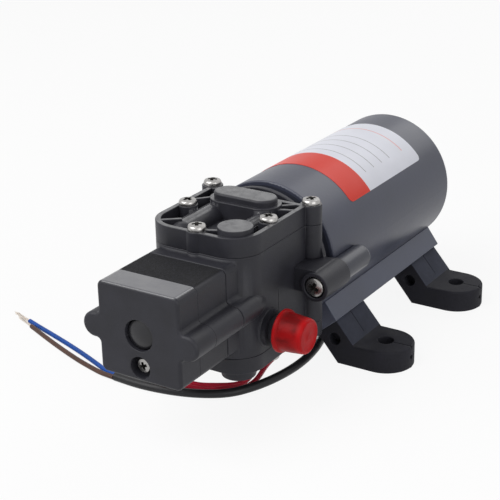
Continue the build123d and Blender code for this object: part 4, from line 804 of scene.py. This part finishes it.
def joined(name, copies):
    """Join several objects into one named piece."""
    rest()
    for piece in copies:
        piece.select_set(True)
    bpy.context.view_layer.objects.active = copies[0]
    if len(copies) > 1:
        bpy.ops.object.join()
    piece = bpy.context.object
    piece.name = name
    return piece


def hand_over(piece, material, body, slot, *nodes):
    """Give a piece its finish, unless it has one, and its body, and hide what it stands for."""
    if not piece.data.materials:
        piece.data.materials.append(material)
    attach(piece, body)
    if nodes:
        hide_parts(*nodes)


def stand_in(piece, node, body="pump"):
    """Let a piece take the place of one CAD node, with its finish."""
    hand_over(piece, finish_of(node), body, SLOTS[node], node)


def curve_cord(name, route, radius, node):
    """A lead as one smooth round curve through its route."""
    curve = bpy.data.curves.new(name, "CURVE")
    curve.dimensions = "3D"
    spline = curve.splines.new("NURBS")
    spline.points.add(len(route) - 1)
    for point, place in zip(spline.points, route):
        point.co = (*(value * MM for value in place), 1)
    spline.order_u = 3
    spline.use_endpoint_u = True
    spline.resolution_u = 10
    curve.bevel_depth = radius
    curve.bevel_resolution = 5
    curve.use_fill_caps = True
    piece = added(name, curve)
    stand_in(piece, node)
    return piece


def strand_bundle(name, route, sizes):
    """Tinned strands, laid with a slow twist, that stick out of a wire's end."""
    end = Vector(route[-1]) * MM
    way = (end - Vector(route[-2]) * MM).normalized()
    copies = []
    for number in range(STRANDS):
        radius = sizes.strand_radius * STRAND_SPACING if number else 0.0
        rest()
        bpy.ops.mesh.primitive_circle_add(
            vertices=STRAND_SIDES, radius=sizes.strand_radius, fill_type="NGON"
        )
        strand = bpy.context.object
        open_whole(strand)
        turn = number * 2 * pi / (STRANDS - 1)
        last = Vector((radius * cos(turn), radius * sin(turn), 0))
        bpy.ops.transform.translate(value=last)
        for step in range(1, STRAND_STEPS + 1):
            share = step / STRAND_STEPS
            angle = turn + share * STRAND_TWIST
            flare = radius * (1 + STRAND_FLARE * share * share)
            height = STRAND_REACH * share * (1 - STRAND_FRAY * number)
            place = Vector((flare * cos(angle), flare * sin(angle), height))
            bpy.ops.mesh.extrude_region_move(TRANSFORM_OT_translate={"value": place - last})
            last = place
        bpy.ops.mesh.select_all(action="SELECT")
        bpy.ops.mesh.normals_make_consistent(inside=False)
        rest()
        strand.data.transform(aimed(way))
        strand.data.transform(Matrix.Translation(end))
        copies.append(strand)
    bundle = joined(name, copies)
    smooth(bundle, 50)
    return bundle


class PUMP_OT_finish_solids(bpy.types.Operator):
    """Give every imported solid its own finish"""

    bl_idname = "pump.finish_solids"
    bl_label = "Finish the solids"

    def execute(self, context):
        colours = context.scene.pump_colours
        steel = metal("turned_steel", (0.56, 0.56, 0.57), 0.25, 0.4, scale=(1, 6, 1))
        trays = tray_plastic("tray_nylon", colours.nylon)
        box_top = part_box("switch_housing")[1][2]
        port_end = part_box("outlet_port")[1][0]
        finishes = {
            "black_nylon": moulded("nylon", colours.nylon),
            "rubber": rubbery("foot_rubber", colours.rubber),
            "can_paint": painted("can_paint", colours.can),
            "bracket_paint": painted("bracket_paint", colours.bracket),
            "cast_plate": painted("plate_paint", shade(colours.can, 0.5), low=0.45, high=0.6),
            "pale_plastic": moulded("pale_plastic", (0.62, 0.60, 0.54)),
            "steel": steel,
            "screw_steel": steel,
            "magnet": moulded("ferrite", (0.06, 0.06, 0.062), low=0.5, high=0.7),
            "carbon": moulded("carbon", (0.03, 0.03, 0.03), low=0.55, high=0.7),
            "copper": metal("copper", (0.72, 0.36, 0.22), 0.25, 0.4, scale=(1, 8, 1)),
            "bronze": metal("bronze", (0.50, 0.34, 0.18), 0.45, 0.6),
            "switch_case": moulded("switch_case", (0.025, 0.025, 0.027), low=0.3, high=0.4),
            "button": moulded("button_plastic", (0.5, 0.03, 0.02), low=0.3, high=0.4),
            "label": label_finish("label_film", colours),
            "cap_plastic": cap_finish("soft_cap_plastic", colours.cap, port_end),
            "jacket": wire_finish("jacket_sheath", colours.jacket),
            "blue_wire": wire_finish("blue_sheath", colours.blue),
            "brown_wire": wire_finish("brown_sheath", colours.brown),
            # The red sheath's colour is partly painted light, lighter than the leads' own red
            "red_wire": wire_finish("red_sheath", colours.red),
            "tinned_wire": metal("tinned_strands", (0.72, 0.66, 0.6), 0.25, 0.4),
        }
        special = {
            "motor_screw_barrels": painted(
                "barrel_paint", shade(colours.can, 0.55), low=0.3, high=0.4
            ),
            "armature_core": metal(
                "stacked_iron", (0.33, 0.33, 0.34), 0.4, 0.55, scale=(1, 20, 1), depth=0.00004
            ),
            "armature_windings": windings_finish("enamelled_windings"),
            "upper_cover": trays,
            "lower_cover": trays,
            "switch_cover": box_plastic("cover_nylon", colours.nylon, box_top, True),
            "switch_housing": box_plastic("housing_nylon", colours.nylon, box_top, False),
        }
        for node, name in SLOTS.items():
            for slot in frame["nodes"][node].material_slots:
                slot.material = special.get(node, finishes[name])
        return {"FINISHED"}


class PUMP_OT_lay_leads(bpy.types.Operator):
    """Lay the supply lead and the two switch leads"""

    bl_idname = "pump.lay_leads"
    bl_label = "Lay the leads"

    def execute(self, context):
        sizes = context.scene.pump_sizes
        tinned = bpy.data.materials["tinned_strands"]
        for name, (route, size, node, *_) in LEADS.items():
            curve_cord(name, route, getattr(sizes, size), node)
        for name, nodes in (("blue_wire", ("stripped_wire_ends",)), ("brown_wire", ())):
            bundle = strand_bundle(name + "_strands", LEADS[name][0], sizes)
            hand_over(bundle, tinned, "pump", "tinned_wire", *nodes)
        for name, (route, size, _, long, far_end, stiffness) in LEADS.items():
            tuple(value * MM for value in route[0])
            2 * getattr(sizes, size)
        return {"FINISHED"}


class PUMP_OT_drive_screws(bpy.types.Operator):
    """Model the cross-recess screws and put them in their seats"""

    bl_idname = "pump.drive_screws"
    bl_label = "Drive the screws"

    def execute(self, context):
        sizes = context.scene.pump_sizes
        nickel = metal("bright_nickel", (0.40, 0.39, 0.38), 0.22, 0.36)
        # A near-black metal for the cross recesses: painted shade
        recess = metal("cross_recess", (0.04, 0.038, 0.036), 0.5, 0.7)
        for node, (way, radius, thickness, shank) in SCREWS.items():
            outward = Vector(way)
            boxes = islands(node)
            span = boxes[0][1] - boxes[0][0]
            below = abs(span.dot(outward)) - thickness
            screw = cross_screw(sizes, radius, thickness, shank, below)
            screw.data.materials.append(nickel)
            screw.data.materials.append(recess)
            # Painted shade goes on the recess faces
            paint_cross_shade(screw, radius, thickness)
            copies = []
            for number, (low, high) in enumerate(boxes):
                middle = (low + high) / 2
                half = abs((high - low).dot(outward)) / 2
                seat = middle + outward * (half - thickness)
                turn = Matrix.Rotation(FIRST_TURN + number * NEXT_TURN, 4, "Z")
                copy = added(f"{node}_{number}", screw.data.copy())
                copy.data.transform(Matrix.Translation(seat) @ aimed(outward) @ turn)
                copies.append(copy)
            bpy.data.objects.remove(screw)
            piece = joined(node + "_crossed", copies)
            hand_over(piece, nickel, "pump", "screw_steel", node)
        return {"FINISHED"}


def beside_mould_line(middle):
    """Whether a place is clear of the body's fine mould line."""
    off = middle - Vector(MOULD_LINE_PLACE)
    return any(abs(value) > size * 0.5 + 0.0001 for value, size in zip(off, MOULD_LINE_SIZE))


class PUMP_OT_ease_mouldings(bpy.types.Operator):
    """Round the edges of the moulded and pressed pieces"""

    bl_idname = "pump.ease_mouldings"
    bl_label = "Ease the mouldings"

    def execute(self, context):
        sizes = context.scene.pump_sizes
        for node, share in EASED_NODES.items():
            piece = flat_copy(node, node + "_eased")
            if node == "pump_body":
                carve(piece, block(MOULD_LINE_SIZE, MOULD_LINE_PLACE))
                round_edges(piece, sizes.joint_round, at_joint)
            if node == "switch_housing":
                round_edges(piece, sizes.joint_round, at_joint, JOINT_PROFILE)
            if node == "motor_screw_barrels":
                round_edges(piece, sizes.joint_round, at_barrel_front, JOINT_PROFILE)
            round_edges(piece, sizes.edge_round * share, beside_mould_line)
            flat_shade(piece)
            stand_in(piece, node)
        return {"FINISHED"}


class PUMP_OT_shape_feet(bpy.types.Operator):
    """Round the rubber feet and cut their fine slits"""

    bl_idname = "pump.shape_feet"
    bl_label = "Shape the feet"

    def execute(self, context):
        sizes = context.scene.pump_sizes
        for side, hand in ((1, "right"), (-1, "left")):
            for end in ("front", "rear"):
                node = f"foot_{end}_{hand}"
                low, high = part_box(node)
                middle = (low[1] + high[1]) / 2
                foot = flat_copy(node, node + "_rubber")
                carve(foot, *self.cutters(sizes, side, middle))
                round_edges(
                    foot, sizes.edge_round, lambda place: abs(place.y - middle) > sizes.slit_width
                )
                flat_shade(foot)
                stand_in(foot, node)
        return {"FINISHED"}

    def cutters(self, sizes, side, middle):
        """Slits down the upright and over the pad, and a small eye in the pad's tip."""
        lean = side * FOOT_LEAN
        down = Vector((side * sin(FOOT_LEAN), 0, -cos(FOOT_LEAN)))
        crown = Vector((side * FOOT_CROWN[0], middle, FOOT_CROWN[1]))
        width, depth = sizes.slit_width, sizes.slit_depth
        upright = block((2 * depth, width, UPRIGHT_SLIT), crown + down * UPRIGHT_SLIT / 2, -lean)
        pad = block((PAD_SLIT, width, 2 * depth), (side * PAD_SLIT_X, middle, PAD_HEIGHT))
        eye = pin(PAD_EYE, 4 * depth, (side * PAD_TIP, middle, PAD_HEIGHT / 2), (1, 0, 0))
        return upright, pad, eye


class PUMP_OT_flex_soft_parts(bpy.types.Operator):
    """Remake the diaphragms, cut in wedges and rings, and the pressure spring in place of their CAD
    nodes
    """

    bl_idname = "pump.flex_soft_parts"
    bl_label = "Flex the soft parts"

    def execute(self, context):
        for node in ("upper_diaphragm", "lower_diaphragm"):
            self.flex(node)
        spring = copy_of("switch_spring", "pressure_spring")
        smooth(spring, 50)
        stand_in(spring, "switch_spring")
        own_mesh(spring)
        return {"FINISHED"}

    def flex(self, node):
        """A diaphragm cut in wedges, each cut in rings along its own radius, then made one again.
        """
        low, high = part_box(node)
        middle = (low + high) / 2
        half = pi / WEDGES
        wedges = []
        for number in range(WEDGES):
            turn = 2 * half * number
            way = Vector((cos(turn), sin(turn), 0))
            wedge = copy_of(node, f"{node}_wedge_{number}")
            choose(wedge)
            bpy.ops.object.mode_set(mode="EDIT")
            for side in (1, -1):
                edge = turn + side * half
                self.cut(middle, (-side * sin(edge), side * cos(edge), 0), True)
            for step in range(FLEX_RINGS + 1):
                reach = FLEX_START + (FLEX_END - FLEX_START) * step / FLEX_RINGS
                self.cut(middle + way * reach, way, False)
            rest()
            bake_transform(wedge)
            wedges.append(wedge)
        disc = joined(node + "_flexing", wedges)
        open_whole(disc)
        bpy.ops.mesh.remove_doubles(threshold=COPY_MERGE)
        bpy.ops.mesh.normals_make_consistent(inside=False)
        smooth(disc, 40)
        stand_in(disc, node)

    def cut(self, place, normal, clear):
        """Cut every face along a plane, and clear what lies past it if asked."""
        bpy.ops.mesh.select_all(action="SELECT")
        bpy.ops.mesh.bisect(plane_co=place, plane_no=normal, clear_outer=clear, threshold=0.0000001)


class PUMP_OT_fit_caps(bpy.types.Operator):
    """Model the soft caps over the hose ports and the plug of the switch cover"""

    bl_idname = "pump.fit_caps"
    bl_label = "Fit the caps"

    def execute(self, context):
        for side, node in ((1, "outlet_cap"), (-1, "inlet_cap")):
            low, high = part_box(node)
            middle = (low + high) / 2
            depth = high[0] - low[0]
            lip = (high[2] - low[2]) / 2
            rings = [
                (0.0046, depth - 0.0011), (0.0051, depth - 0.0014), (0.0051, 0.0002),
                (0.0053, 0.0), (lip - 0.0002, 0.0), (lip, 0.0002), (lip, 0.0012),
                (lip - 0.0002, 0.00145), *CAP_WALL, (0.00582, depth - 0.0010),
                (0.00570, depth - 0.0005), (0.00548, depth - 0.00018), (0.00512, depth),
                (0.00470, depth), (0.00455, depth - 0.00012), (0.0012, depth - 0.00012),
                (0.0010, depth), (0.0004, depth),
            ]
            cap = turned(node + "_soft", rings)
            start = Vector((low[0] if side > 0 else high[0], middle[1], middle[2]))
            cap.data.transform(Matrix.Translation(start) @ aimed((side, 0, 0)))
            smooth(cap, 40)
            stand_in(cap, node, body=node)
        self.fit_plug()
        return {"FINISHED"}

    def fit_plug(self):
        """The domed plug in the face of the switch cover."""
        low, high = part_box("switch_plug")
        radius = (high[0] - low[0]) / 2
        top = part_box("switch_cover")[0][1] + PLUG_INSET
        depth = high[1] - top
        ball = (radius * radius + PLUG_RISE * PLUG_RISE) / (2 * PLUG_RISE)
        rings = [(radius * 0.7, 0.0), (radius, 0.0), (radius, depth - PLUG_RISE - 0.00012)]
        for share in (0.985, 0.93, 0.82, 0.68, 0.52, 0.36, 0.2, 0.06):
            out = radius * share
            rings.append((out, depth - ball + (ball * ball - out * out) ** 0.5))
        plug = turned("switch_plug_dome", rings)
        seat = Vector(((low[0] + high[0]) / 2, high[1], (low[2] + high[2]) / 2))
        plug.data.transform(Matrix.Translation(seat) @ aimed((0, -1, 0)))
        smooth(plug, 40)
        base = shade(bpy.context.scene.pump_colours.nylon, 0.45)
        material = moulded("plug_nylon", base, low=0.28, high=0.38, specular=0.45)
        hand_over(plug, material, "pump", "black_nylon", "switch_plug")


class PUMP_OT_set_stage(bpy.types.Operator):
    """Set the floor, the lamps, the world and the camera"""

    bl_idname = "pump.set_stage"
    bl_label = "Set the stage"

    def execute(self, context):
        self.lay_floor()
        self.light_world(context.scene)
        self.hang_lamps()
        self.aim_camera(context.scene)
        context.scene.view_settings.view_transform = "Standard"
        return {"FINISHED"}

    def lay_floor(self):
        """A wide floor that looks white and keeps a soft shadow."""
        rest()
        bpy.ops.mesh.primitive_plane_add(size=FLOOR_SIZE)
        floor = bpy.context.object
        floor.name = "studio_floor"
        finish = Finish("floor_paper", specular=0.0)
        finish.surface((0.86, 0.86, 0.86), 0.9)
        paper = Link(finish, finish.shader.outputs[0])
        glow = finish.node("ShaderNodeEmission", None, {"Color": (1, 1, 1), "Strength": 1.0})
        sockets = {0: finish.plain_ray() * FLOOR_GLOW, 1: paper, 2: glow}
        mixed = finish.node("ShaderNodeMixShader", None, sockets)
        finish.fill(finish.tree.nodes["Material Output"].inputs["Surface"], mixed)
        floor.data.materials.append(finish.material)

    def light_world(self, scene):
        """A soft even light all round, and a white background."""
        world = bpy.data.worlds.new("studio")
        scene.world = world
        world.use_nodes = True
        world.node_tree.nodes.clear()
        tree = Nodes(world.node_tree)
        soft, white = (
            tree.node("ShaderNodeBackground", None, {"Color": (1, 1, 1), "Strength": strength})
            for strength in (SOFT_STRENGTH, WHITE_STRENGTH)
        )
        mixed = tree.node("ShaderNodeMixShader", None, {0: tree.plain_ray(), 1: soft, 2: white})
        tree.node("ShaderNodeOutputWorld", None, {"Surface": mixed}, output=None)

    def hang_lamps(self):
        """Soft boxes at the front left, at the right and at the back."""
        for name, (place, size, power) in LAMPS.items():
            light = bpy.data.lights.new(name, "AREA")
            light.shape = "SQUARE"
            light.size = size
            light.energy = power
            lamp = added(name, light)
            lamp.location = place
            way = Vector(LAMP_AIM) - Vector(place)
            lamp.rotation_euler = way.to_track_quat("-Z", "Y").to_euler()

    def aim_camera(self, scene):
        """The camera of the photograph: its place, turn and focal length."""
        camera = bpy.data.cameras.new("photo_camera")
        camera.sensor_width = SENSOR_WIDTH
        camera.lens = FOCAL_SHARE * SENSOR_WIDTH
        camera.clip_start = 0.01
        holder = added("photo_camera", camera)
        place = Matrix.Translation(CAMERA_PLACE)
        for turn, axis in ((CAMERA_BEARING, "Z"), (pi / 2 - CAMERA_RISE, "X"), (CAMERA_ROLL, "Z")):
            place @= Matrix.Rotation(turn, 4, axis)
        holder.matrix_world = place
        scene.camera = holder


class PUMP_PT_builder(bpy.types.Panel):
    """Lists the steps, the sizes and the colours"""

    bl_label = "Water pump"
    bl_idname = "PUMP_PT_builder"
    bl_space_type = "VIEW_3D"
    bl_region_type = "UI"
    bl_category = "Pump"

    def draw(self, context):
        column = self.layout.column()
        for step in STEPS:
            column.operator(step.bl_idname)
        for group in (context.scene.pump_sizes, context.scene.pump_colours):
            for name in group.__annotations__:
                column.prop(group, name)


STEPS = (
    PUMP_OT_finish_solids,
    PUMP_OT_lay_leads,
    PUMP_OT_drive_screws,
    PUMP_OT_ease_mouldings,
    PUMP_OT_shape_feet,
    PUMP_OT_flex_soft_parts,
    PUMP_OT_fit_caps,
    PUMP_OT_set_stage,
)
CLASSES = (PumpSizes, PumpColours, *STEPS, PUMP_PT_builder)


def register():
    """Register the classes and hang the settings on the scene."""
    for kind in CLASSES:
        bpy.utils.register_class(kind)
    bpy.types.Scene.pump_sizes = bpy.props.PointerProperty(type=PumpSizes)
    bpy.types.Scene.pump_colours = bpy.props.PointerProperty(type=PumpColours)


def unregister():
    """Take the settings and the classes away."""
    del bpy.types.Scene.pump_colours
    del bpy.types.Scene.pump_sizes
    for kind in reversed(CLASSES):
        bpy.utils.unregister_class(kind)


def main():
    """Build every piece in order."""
    register()
    bpy.ops.pump.finish_solids()
    bpy.ops.pump.lay_leads()
    bpy.ops.pump.drive_screws()
    bpy.ops.pump.ease_mouldings()
    bpy.ops.pump.shape_feet()
    bpy.ops.pump.flex_soft_parts()
    bpy.ops.pump.fit_caps()
    bpy.ops.pump.set_stage()
    rest()


if __name__ == "__main__":
    main()
